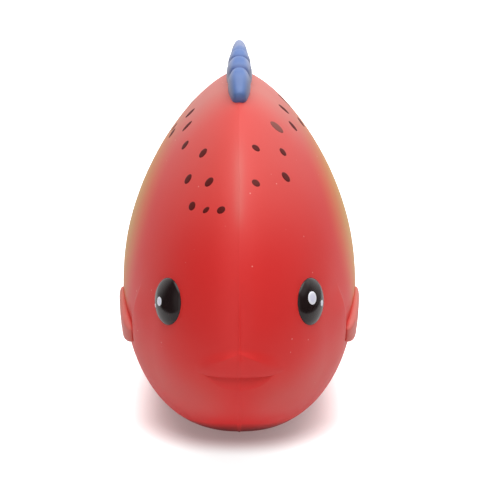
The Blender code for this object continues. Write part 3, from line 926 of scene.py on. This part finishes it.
def row_places(first_y, length, lean, slope_share, width, root, lobe_lengths, thicknesses, edge):
    """Lobes of a fin on the middle line, each leaning back from the body's edge to a free tip."""
    places = []
    spacing = length / (len(lobe_lengths) - 1)
    for index, (lobe_length, thickness) in enumerate(zip(lobe_lengths, thicknesses)):
        y = first_y + spacing * index
        rise = body_section(y + SLOPE_STEP)[edge] - body_section(y - SLOPE_STEP)[edge]
        angle = slope_share * math.atan2(rise, 2.0 * SLOPE_STEP) + lean
        reach = (lobe_length - root) / 2
        middle = (0.0, y + math.cos(angle) * reach, float(body_section(y)[edge]) + math.sin(angle) * reach)
        places.append((middle, (angle - math.pi / 2, 0.0, 0.0),
                       (thickness / 2, width / 2, (lobe_length + root) / 2)))
    return places


def tail_places():
    """Knuckle and fanned rays of the tail fin."""
    knuckle = (TAIL_KNUCKLE_WIDTH / 2, TAIL_KNUCKLE_WIDTH / 2, TAIL_KNUCKLE_HEIGHT / 2)
    places = [((0.0, TAIL_AXIS_Y, TAIL_ROOT_MIDDLE), (0.0, 0.0, 0.0), knuckle)]
    for share in np.linspace(-1.0, 1.0, TAIL_RAYS):
        angle = TAIL_FAN / 2 * share
        reach = TAIL_LENGTH * (1.0 - TAIL_FORK_SHARE * (1.0 - share ** 2))
        bulge = TAIL_RAY_WIDTH / 2 * math.sin(angle)
        half_length = (reach ** 2 - bulge ** 2) / (2.0 * reach * math.cos(angle))
        middle = (0.0, TAIL_AXIS_Y + half_length * math.cos(angle),
                  TAIL_ROOT_MIDDLE + TAIL_ROOT_SPREAD / 2 * share + half_length * math.sin(angle))
        places.append((middle, (angle - math.pi / 2, 0.0, 0.0),
                       (TAIL_THICKNESS / 2, TAIL_RAY_WIDTH / 2, half_length)))
    return places


def pectoral_places():
    """Rays of a side fin, laid flat on the middle plane."""
    places = []
    for share in np.linspace(-1.0, 1.0, PECTORAL_RAYS):
        turn = PECTORAL_FAN / 2 * share + PECTORAL_RISE
        root_z = PECTORAL_ROOT_HEIGHT + PECTORAL_ROOT_SPREAD / 2 * share
        middle = (0.0, SNOUT_Y + PECTORAL_START + PECTORAL_LENGTH / 2 * math.cos(turn),
                  root_z + PECTORAL_LENGTH / 2 * math.sin(turn))
        places.append((middle, (turn - math.pi / 2, 0.0, 0.0),
                       (PECTORAL_THICKNESS / 2, PECTORAL_RAY_WIDTH / 2, PECTORAL_LENGTH / 2)))
    return places


# Eyes and prints


def skin_frame(normal):
    """Turns Z to the normal and X towards the tail."""
    aft = Vector((0.0, 1.0, 0.0))
    across = normal.cross(aft).normalized()
    along = across.cross(normal)
    return Matrix((along, across, normal)).transposed().to_4x4()


def eye_mesh(side, surface):
    """Dome that follows the skin under it, steeper at its rim, with its wall sunk in the foam."""
    y, z = SNOUT_Y + SNOUT_TO_EYE, EYE_HEIGHT
    start = Vector((side * float(side_x(np.array(y), np.array(z))), y, z))
    point, normal, _, _ = surface.find_nearest(start)
    turn = skin_frame(normal)
    radius = EYE_DIAMETER / 2
    share = np.sin(np.linspace(np.pi / 2, 0.0, EYE_RINGS)[:-1])
    heights = EYE_BULGE * (1.0 - share ** EYE_DOME_EXPONENT) ** EYE_RIM_EXPONENT
    profile = [(1.0, -EYE_SINK)] + list(zip(share, heights))
    rings = []
    for part, height in profile:
        ring = []
        for angle in np.linspace(0.0, 2.0 * np.pi, EYE_SIDES, endpoint=False):
            flat = point + turn @ Vector((math.cos(angle), math.sin(angle), 0.0)) * radius * part
            hit, _, _, _ = surface.ray_cast(flat + normal * EYE_CAST_HEIGHT, -normal)
            ring.append(hit + normal * height)
        rings.append(ring)
    return closed_rings(f"{SIDE_NAMES[side]}_eye", np.array(rings),
                        point - normal * EYE_SINK, point + normal * EYE_BULGE)


def disc_mesh():
    """Thin round lens of unit radius in XY, whose height is its share of the full lift."""
    angle = np.linspace(0.0, 2.0 * np.pi, DISC_SIDES, endpoint=False)
    rings = [[(math.cos(a), math.sin(a), -1.0) for a in angle]]
    for part in np.linspace(1.0, 0.0, DISC_RINGS + 1)[:-1]:
        height = 1.0 - part ** DISC_FLATNESS
        rings.append([(part * math.cos(a), part * math.sin(a), height) for a in angle])
    return closed_rings("disc", np.array(rings), (0.0, 0.0, -1.0), (0.0, 0.0, 1.0))


def photo_ray(camera, column, row):
    """Origin and direction of the camera's ray through a place in the photograph."""
    right = (column - IMAGE_PIXELS / 2) / FOCAL_PIXELS
    up = (IMAGE_PIXELS / 2 - row) / FOCAL_PIXELS
    return camera.location, camera.rotation_euler.to_matrix() @ Vector((right, up, -1.0)).normalized()


def first_touch(surface, origin, direction):
    """Where a ray meets a surface, or the place nearest to the ray if it just misses the edge."""
    place, normal, _, _ = surface.ray_cast(origin, direction)
    if place is None:
        abreast = origin + direction * (BACK_PEAK_Y - origin.y) / direction.y
        place, normal, _, _ = surface.find_nearest(abreast)
    return place, normal


def prints_on(name, tree, surface, marks, lift, material):
    """Thin discs of ink lying on a surface. A mark is (place, normal, length aft, width, turn, tone)."""
    places = []
    tones = []
    for place, normal, length, width, spin, tone in marks:
        euler = (skin_frame(normal) @ Matrix.Rotation(spin, 4, "Z")).to_euler()
        places.append((place, tuple(euler), (length / 2, width / 2, lift)))
        tones.append(tone)
    shape = disc_mesh()
    x, y, rise = coordinates(shape).T
    mesh = shapes_on_points(name, tree, shape, places, material)
    settled = []
    for point, height in zip(coordinates(mesh), np.tile(rise, len(places))):
        foot, normal, _, _ = surface.find_nearest(Vector(point))
        settled.append(foot + normal * lift * height)
    set_coordinates(mesh, settled)
    set_values(mesh, "tone", np.repeat(tones, len(rise)))
    set_values(mesh, "reach", np.tile(np.hypot(x, y), len(places)))
    return mesh


def spot_marks(camera, surface):
    """Ink spots: those in the photograph, and a like scatter on the back that it hides."""
    random = np.random.default_rng(SPOT_SEED)
    marks = []
    for column, row, down, along, paleness in SPOTS:
        place, normal = first_touch(surface, *photo_ray(camera, column, row))
        spin = random.uniform(-SPOT_TURN, SPOT_TURN)
        marks.append((place, normal, along * MM, down * MM, spin, paleness))
    for _ in range(REAR_SPOT_TRIES):
        if len(marks) == len(SPOTS) + REAR_SPOTS:
            break
        y = REAR_SPOT_START + REAR_SPOT_LENGTH * random.uniform()
        side = random.choice([LEFT, RIGHT])
        top, _, _, widest = (float(value) for value in body_section(np.array(y)))
        z = top - (top - widest) * random.uniform(*REAR_SPOT_DROPS)
        x = side * float(side_x(np.array(y), np.array(z)))
        place, normal, _, _ = surface.find_nearest(Vector((x, y, z)))
        clear = all((place - mark[0]).length > REAR_SPOT_SPACING for mark in marks)
        if clear and max(DORSAL_THICKNESSES) < abs(place.x) < POCKET_X - REAR_SPOT_DIAMETER:
            size = REAR_SPOT_DIAMETER * random.uniform(*REAR_SPOT_SIZES)
            stretch = random.uniform(*REAR_SPOT_STRETCHES)
            spin = random.uniform(-SPOT_TURN, SPOT_TURN)
            marks.append((place, normal, size, size * stretch, spin, 0.0))
    return marks


# Materials


def new_material(name):
    """A material with its node tree and its shader."""
    material = bpy.data.materials.new(name)
    material.use_nodes = True
    return material, material.node_tree, material.node_tree.nodes["Principled BSDF"]


def dimples(tree, place, size):
    """Normal of the faint dimples that foam takes from its mould."""
    peel = add_node(tree, "ShaderNodeTexNoise", {"Vector": place, "Scale": 1.0 / size, "Detail": 2.0})
    bump = add_node(tree, "ShaderNodeBump", {
        "Height": peel.outputs[0], "Strength": DIMPLE_STRENGTH, "Distance": DIMPLE_DEPTH})
    return bump.outputs[0]


def foam_material():
    """Satin sprayed foam: softly shiny red, olive yellow on the flanks, paler where the red is thin and
    where sheen and highlights are painted, and darker where shade is painted underneath.
    """
    material, tree, shader = new_material("sprayed_polyurethane_foam")
    place = add_node(tree, "ShaderNodeTexCoord").outputs["Object"]
    flank = add_node(tree, "ShaderNodeAttribute", attribute_name="flank").outputs["Fac"]
    pale_paint_and_sheen = add_node(tree, "ShaderNodeAttribute", attribute_name="pale_paint_and_sheen").outputs["Fac"]
    painted_shade = add_node(tree, "ShaderNodeAttribute", attribute_name="painted_shade").outputs["Fac"]
    cloud = add_node(tree, "ShaderNodeTexNoise", {
        "Vector": place, "Scale": 1.0 / FOAM_CLOUD_SIZE, "Detail": 3.0})
    full = add_node(tree, "ShaderNodeMix", {
        SHARE: cloud.outputs[0], BASE: linear("#D52A28"), COAT: linear("#DB312F")}, data_type="RGBA")
    # The pale coat is thin red, and also the painted sheen and painted highlights
    red = add_node(tree, "ShaderNodeMix", {
        SHARE: pale_paint_and_sheen, BASE: full.outputs[MIXED], COAT: linear("#CC7067")}, data_type="RGBA")
    aft = add_node(tree, "ShaderNodeSeparateXYZ", {0: place}).outputs[1]
    turned = add_node(tree, "ShaderNodeMapRange", {
        "Value": aft, "From Min": PATCH_TURN_START, "From Max": PATCH_TURN_END})
    yellow = add_node(tree, "ShaderNodeMix", {
        SHARE: turned.outputs[0], BASE: linear("#CE9040"), COAT: linear("#CA9F4C")}, data_type="RGBA")
    spray = add_node(tree, "ShaderNodeTexNoise", {
        "Vector": place, "Scale": 1.0 / SPRAY_BREAK_SIZE, "Detail": 4.0})
    broken = add_node(tree, "ShaderNodeMapRange", {
        "Value": spray.outputs[0], "To Min": 0.85, "To Max": 1.15})
    mask = add_node(tree, "ShaderNodeMath", {
        0: flank, 1: broken.outputs[0]}, operation="MULTIPLY", use_clamp=True)
    paint = add_node(tree, "ShaderNodeMix", {
        SHARE: mask.outputs[0], BASE: red.outputs[MIXED], COAT: yellow.outputs[MIXED]}, data_type="RGBA")
    cells = add_node(tree, "ShaderNodeTexVoronoi", {"Vector": place, "Scale": 1.0 / FLECK_SPACING})
    fleck = add_node(tree, "ShaderNodeMapRange", {
        "Value": cells.outputs["Distance"], "From Min": 0.03, "From Max": 0.06,
        "To Min": 0.6, "To Max": 0.0})
    chosen = add_node(tree, "ShaderNodeMath", {
        0: cells.outputs["Color"], 1: 0.3}, operation="GREATER_THAN")
    pale = add_node(tree, "ShaderNodeMath", {
        0: fleck.outputs[0], 1: chosen.outputs[0]}, operation="MULTIPLY")
    flecked = add_node(tree, "ShaderNodeMix", {
        SHARE: pale.outputs[0], BASE: paint.outputs[MIXED], COAT: linear("#E8A9A0")}, data_type="RGBA")
    # Painted shade under the belly and in the side fins' creases: a deeper red, then dark maroon
    thick = add_node(tree, "ShaderNodeMapRange", {"Value": painted_shade, "From Max": SHADE_RED_SHARE})
    deep = add_node(tree, "ShaderNodeMix", {
        SHARE: thick.outputs[0], BASE: flecked.outputs[MIXED], COAT: linear("#DA1412")}, data_type="RGBA")
    dark = add_node(tree, "ShaderNodeMapRange", {"Value": painted_shade, "From Min": SHADE_DARK_START})
    colour = add_node(tree, "ShaderNodeMix", {
        SHARE: dark.outputs[0], BASE: deep.outputs[MIXED], COAT: linear("#740604")}, data_type="RGBA")
    sheen = add_node(tree, "ShaderNodeMapRange", {
        "Value": cloud.outputs[0], "To Min": 0.42, "To Max": 0.5})
    set_inputs(tree, shader, {
        "Base Color": colour.outputs[MIXED], "Roughness": sheen.outputs[0], "Specular IOR Level": 0.3,
        "Normal": dimples(tree, place, FOAM_DIMPLE_SIZE)})
    return material


def blue_material():
    """Satin blue spray, lavender on the sides of the lobes, partly thinner spray and partly a painted
    sheen, with painted shade in their creases.
    """
    material, tree, shader = new_material("sprayed_blue_foam")
    place = add_node(tree, "ShaderNodeTexCoord").outputs["Object"]
    side = add_node(tree, "ShaderNodeAttribute", attribute_name="side").outputs["Fac"]
    painted_crease_shade = add_node(tree, "ShaderNodeAttribute", attribute_name="painted_crease_shade").outputs["Fac"]
    cloud = add_node(tree, "ShaderNodeTexNoise", {
        "Vector": place, "Scale": 1.0 / BLUE_CLOUD_SIZE, "Detail": 3.0})
    blue = add_node(tree, "ShaderNodeMix", {
        SHARE: cloud.outputs[0], BASE: linear("#5270AC"), COAT: linear("#5E7BB3")}, data_type="RGBA")
    # Lavender on the lobes' sides: thinner spray and a painted sheen together
    pale_paint_and_sheen = add_node(tree, "ShaderNodeMix", {
        SHARE: side, BASE: blue.outputs[MIXED], COAT: linear("#9AA1BC")}, data_type="RGBA")
    # Painted shade in the creases between lobes
    colour = add_node(tree, "ShaderNodeMix", {
        SHARE: painted_crease_shade, BASE: pale_paint_and_sheen.outputs[MIXED], COAT: linear("#2F4683")}, data_type="RGBA")
    sheen = add_node(tree, "ShaderNodeMapRange", {
        "Value": cloud.outputs[0], "To Min": 0.4, "To Max": 0.52})
    set_inputs(tree, shader, {
        "Base Color": colour.outputs[MIXED], "Roughness": sheen.outputs[0],
        "Normal": dimples(tree, place, BLUE_DIMPLE_SIZE)})
    return material


def enamel_material():
    """Gloss black enamel: sharp reflections over a black with faint brown clouds."""
    material, tree, shader = new_material("black_gloss_enamel")
    place = add_node(tree, "ShaderNodeTexCoord").outputs["Object"]
    cloud = add_node(tree, "ShaderNodeTexNoise", {
        "Vector": place, "Scale": 1.0 / ENAMEL_CLOUD_SIZE, "Detail": 2.0})
    black = add_node(tree, "ShaderNodeMix", {
        SHARE: cloud.outputs[0], BASE: linear("#1F1617"), COAT: linear("#261C1C")}, data_type="RGBA")
    gloss = add_node(tree, "ShaderNodeMapRange", {
        "Value": cloud.outputs[0], "To Min": 0.12, "To Max": 0.17})
    set_inputs(tree, shader, {
        "Base Color": black.outputs[MIXED], "Roughness": gloss.outputs[0], "Specular IOR Level": 0.3})
    return material


def print_material():
    """White pad print on the eyes, a little thinner in the middle so that it looks lilac there."""
    material, tree, shader = new_material("white_pad_print")
    reach = add_node(tree, "ShaderNodeAttribute", attribute_name="reach").outputs["Fac"]
    thick = add_node(tree, "ShaderNodeMapRange", {"Value": reach, "From Min": 0.5, "From Max": 0.75})
    colour = add_node(tree, "ShaderNodeMix", {
        SHARE: thick.outputs[0], BASE: linear("#D9D8EA"), COAT: linear("#E9E9F2")}, data_type="RGBA")
    set_inputs(tree, shader, {"Base Color": colour.outputs[MIXED], "Roughness": 0.3})
    return material


def ink_material():
    """Thin dark ink in fine grains, with more red showing through it in the paler spots."""
    material, tree, shader = new_material("brown_black_ink")
    place = add_node(tree, "ShaderNodeTexCoord").outputs["Object"]
    tone = add_node(tree, "ShaderNodeAttribute", attribute_name="tone").outputs["Fac"]
    grain = add_node(tree, "ShaderNodeTexNoise", {
        "Vector": place, "Scale": 1.0 / INK_GRAIN_SIZE, "Detail": 2.0})
    dark = add_node(tree, "ShaderNodeMix", {
        SHARE: grain.outputs[0], BASE: linear("#500A08"), COAT: linear("#600E0B")}, data_type="RGBA")
    colour = add_node(tree, "ShaderNodeMix", {
        SHARE: tone, BASE: dark.outputs[MIXED], COAT: linear("#9C5C54")}, data_type="RGBA")
    set_inputs(tree, shader, {
        "Base Color": colour.outputs[MIXED], "Roughness": 0.6, "Specular IOR Level": 0.2})
    return material


# Stage


def build_camera():
    """Camera at the photograph's place and angle."""
    camera = bpy.data.objects.new("camera", bpy.data.cameras.new("camera"))
    bpy.context.scene.collection.objects.link(camera)
    back = Vector((0.0, -math.cos(CAMERA_ELEVATION), math.sin(CAMERA_ELEVATION)))
    camera.location = CAMERA_TARGET + back * CAMERA_DISTANCE
    camera.rotation_euler = back.to_track_quat("Z", "Y").to_euler()
    camera.data.sensor_width = SENSOR_WIDTH
    camera.data.lens = SENSOR_WIDTH * FOCAL_PIXELS / IMAGE_PIXELS
    camera.data.clip_start = CLIP_START
    bpy.context.scene.camera = camera
    return camera


def build_floor():
    """Pale paper that keeps the fish's cast shadow; for the camera alone it glows white, with a painted
    shadow, a dimmer and pinker glow, round the fish.
    """
    x, y = FLOOR_WIDTH / 2, FLOOR_LENGTH / 2
    corners = [(-x, -y, 0.0), (x, -y, 0.0), (x, y, 0.0), (-x, y, 0.0)]
    mesh = bpy.data.meshes.new("studio_floor")
    mesh.from_pydata(corners, [], [(0, 1, 2, 3)])
    material, tree, shader = new_material("white_paper_sweep")
    place = add_node(tree, "ShaderNodeTexCoord").outputs["Object"]
    ahead = add_node(tree, "ShaderNodeVectorMath", {
        0: place, 1: SHADOW_FRONT}, operation="MAXIMUM")
    nearest = add_node(tree, "ShaderNodeVectorMath", {
        0: ahead.outputs[0], 1: SHADOW_REAR}, operation="MINIMUM")
    from_middle = add_node(tree, "ShaderNodeVectorMath", {
        0: place, 1: nearest.outputs[0]}, operation="SUBTRACT")
    shares = add_node(tree, "ShaderNodeVectorMath", {
        0: from_middle.outputs[0], 1: SHADOW_REACH}, operation="DIVIDE")
    away = add_node(tree, "ShaderNodeVectorMath", {0: shares.outputs[0]}, operation="LENGTH")
    clear = add_node(tree, "ShaderNodeMapRange", {
        "Value": away.outputs["Value"], "From Min": SHADOW_FADE_START, "From Max": SHADOW_FADE_END},
        interpolation_type="SMOOTHSTEP")
    # Painted shadow: the camera's glow is dimmer and pinker inside this shape round the fish
    level = add_node(tree, "ShaderNodeMapRange", {
        "Value": clear.outputs[0], "To Min": SHADOW_GLOW, "To Max": PAPER_GLOW})
    tint = add_node(tree, "ShaderNodeMix", {
        SHARE: clear.outputs[0], BASE: linear(SHADOW_TINT), COAT: linear("#FFFFFF")}, data_type="RGBA")
    seen = add_node(tree, "ShaderNodeLightPath").outputs["Is Camera Ray"]
    glow = add_node(tree, "ShaderNodeMath", {0: seen, 1: level.outputs[0]}, operation="MULTIPLY")
    set_inputs(tree, shader, {
        "Base Color": linear(FLOOR_COLOUR), "Roughness": 0.9, "Specular IOR Level": 0.1,
        "Emission Color": tint.outputs[MIXED], "Emission Strength": glow.outputs[0]})
    mesh.materials.append(material)
    floor = bpy.data.objects.new("studio_floor", mesh)
    bpy.context.scene.collection.objects.link(floor)


def build_lights():
    """Soft panels of light above, behind and in front of the fish, and a white backdrop for the camera."""
    world = bpy.data.worlds.new("studio")
    bpy.context.scene.world = world
    world.use_nodes = True
    tree = world.node_tree
    tree.nodes.clear()
    direction = add_node(tree, "ShaderNodeTexCoord").outputs["Generated"]
    total = 0.0
    for panel, level in PANELS:
        facing = add_node(tree, "ShaderNodeVectorMath", {
            0: direction, 1: Vector(panel).normalized()}, operation="DOT_PRODUCT")
        glow = add_node(tree, "ShaderNodeMapRange", {
            "Value": facing.outputs["Value"], "From Min": math.cos(PANEL_EDGE),
            "From Max": math.cos(PANEL_CORE), "To Min": 0.0, "To Max": level},
            interpolation_type="SMOOTHSTEP")
        total = add_node(tree, "ShaderNodeMath", {0: glow.outputs[0], 1: total}).outputs[0]
    room = add_node(tree, "ShaderNodeBackground", {"Color": (1.0, 1.0, 1.0, 1.0), "Strength": total})
    white = add_node(tree, "ShaderNodeBackground", {"Color": (1.0, 1.0, 1.0, 1.0), "Strength": 1.0})
    seen = add_node(tree, "ShaderNodeLightPath").outputs["Is Camera Ray"]
    mix = add_node(tree, "ShaderNodeMixShader", {0: seen, 1: room.outputs[0], 2: white.outputs[0]})
    add_node(tree, "ShaderNodeOutputWorld", {"Surface": mix.outputs[0]})


# Pieces


def build_skin(skin, foam):
    """Foam body with a pocket on each side, and the soft flank pads that fill the pockets."""
    normals = [tuple(vertex.normal) for vertex in skin.vertices]
    pockets = [(LEFT, POCKET_X), (RIGHT, POCKET_X)]
    mesh = cut_piece("foam_body", skin, normals, MIDDLE, pockets)
    body = add_piece("foam_body", mesh, foam)
    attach(body, "body")
    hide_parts("body")
    for side, name in SIDE_NAMES.items():
        mesh = cut_piece(f"{name}_flank_pad", skin, normals, side, [(side, FLANK_X)])
        pad = add_piece(f"{name}_flank_pad", mesh, foam)
        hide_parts(f"{name}_flank")
        press(pad, side)


def press(piece, side):
    """A soft piece that goes in with the flank."""
    name = SIDE_NAMES[side]
    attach(piece, f"{name}_side")
    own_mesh(piece)


def finish_fin(mesh, places, half_thickness, side_share, rear_share):
    """Marks a blue fin's creases for painted shade, and how pale it is on its sides, from thinner spray
    and a painted sheen together, and towards the tail, where its spray thins out.
    """
    points = coordinates(mesh)
    set_values(mesh, "painted_crease_shade", CREASE_SHADE * crease_values(points, places))
    out = np.abs(points[:, 0]) / half_thickness
    side = side_share * smooth_step((out - SIDE_FADE_START) / SIDE_FADE_RANGE)
    aft = rear_share * smooth_step(points[:, 1] / REAR_FADE_LENGTH)
    set_values(mesh, "side", np.maximum(side, aft))


def build_blue_fins(tree, blue):
    """Dorsal and anal fins of overlapping lobes, and a tail fin of fanned rays."""
    dorsal = row_places(SNOUT_Y + DORSAL_START, DORSAL_LENGTH, DORSAL_LOBE_ANGLE, DORSAL_SLOPE_SHARE,
                        DORSAL_LOBE_WIDTH, DORSAL_ROOT, DORSAL_LOBE_LENGTHS, DORSAL_THICKNESSES,
                        TOP_EDGE)
    anal = row_places(TAIL_AXIS_Y - ANAL_TO_TAIL - ANAL_LENGTH, ANAL_LENGTH, ANAL_LOBE_ANGLE,
                      ANAL_SLOPE_SHARE, ANAL_LOBE_WIDTH, ANAL_ROOT, ANAL_LOBE_LENGTHS, ANAL_THICKNESSES,
                      BOTTOM_EDGE)
    leaf = leaf_mesh()
    fins = (
        ("dorsal_fin", leaf, dorsal, max(DORSAL_THICKNESSES), DORSAL_SIDE_FADE, DORSAL_REAR_FADE),
        ("anal_fin", leaf, anal, max(ANAL_THICKNESSES), OTHER_SIDE_FADE, 0.0),
        ("tail_fin", paddle_mesh(), tail_places(), TAIL_THICKNESS, OTHER_SIDE_FADE, 0.0),
    )
    for name, shape, places, thickness, side_share, rear_share in fins:
        mesh = shapes_on_points(f"{name}_foam", tree, shape, places, blue, FIN_VOXEL)
        finish_fin(mesh, places, thickness / 2, side_share, rear_share)
        fin = add_piece(f"{name}_foam", mesh, blue)
        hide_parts(name)
        if name == "tail_fin":
            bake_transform(fin)
        else:
            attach(fin, "body")


def build_pectorals(tree, foam):
    """Side fins of fanned rays bent onto the flanks, pale outside, with shade painted in a redder tone
    along their inner creases.
    """
    flat = shapes_on_points("pectoral", tree, petal_mesh(), pectoral_places(), foam, FIN_VOXEL,
                            PECTORAL_SMOOTHING)
    for side, name in SIDE_NAMES.items():
        mesh = flat.copy()
        points = coordinates(mesh)
        out = points[:, 0] / PECTORAL_THICKNESS
        along = smooth_step((points[:, 1] - SNOUT_Y - PECTORAL_START) / PECTORAL_LENGTH)
        lift = PECTORAL_ROOT_LIFT + (PECTORAL_TIP_LIFT - PECTORAL_ROOT_LIFT) * along
        points[:, 0] = side * (points[:, 0] + lift + side_x(points[:, 1], points[:, 2]))
        set_coordinates(mesh, points)
        if side == RIGHT:
            mesh.flip_normals()
        # Painted shade: a redder tone along the fin's inner face, where it meets the flank
        painted_shade = smooth_step(PECTORAL_CREASE_START - PECTORAL_CREASE_SLOPE * out)
        set_values(mesh, "flank", PECTORAL_FLANK_LEVEL * flank_share(points))
        set_values(mesh, "pale_paint_and_sheen", PECTORAL_THIN * smooth_step(1.0 + PECTORAL_THIN_SLOPE * out))
        set_values(mesh, "painted_shade", PECTORAL_CREASE_SHADE * painted_shade)
        fin = add_piece(f"{name}_pectoral_foam", mesh, foam)
        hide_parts(f"{name}_pectoral_fin")
        press(fin, side)


def build_eyes(tree, camera, surface, enamel, white):
    """Domed eyes with their printed highlights."""
    for side, name in SIDE_NAMES.items():
        mesh = eye_mesh(side, surface)
        dome = surface_of(mesh)
        eye = add_piece(f"{name}_eye_dome", mesh, enamel)
        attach(eye, "body")
        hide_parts(f"{name}_eye")
        marks = []
        for column, row, diameter in EYE_PRINTS[side]:
            place, normal, _, _ = dome.ray_cast(*photo_ray(camera, column, row))
            marks.append((place, normal, diameter * MM, diameter * MM, 0.0, 0.0))
        prints = prints_on(f"{name}_eye_print", tree, dome, marks, PRINT_LIFT, white)
        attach(add_piece(f"{name}_eye_print", prints, white), "body")


def main():
    bpy.context.scene.view_settings.view_transform = "Standard"
    camera = build_camera()
    build_floor()
    build_lights()
    foam = foam_material()
    tree = shape_tree()
    skin = skin_mesh()
    surface = surface_of(skin)
    build_skin(skin, foam)
    build_blue_fins(tree, blue_material())
    build_pectorals(tree, foam)
    build_eyes(tree, camera, surface, enamel_material(), print_material())
    ink = ink_material()
    spots = prints_on("back_spots", tree, surface, spot_marks(camera, surface), SPOT_LIFT, ink)
    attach(add_piece("back_spots", spots, ink), "body")


main()
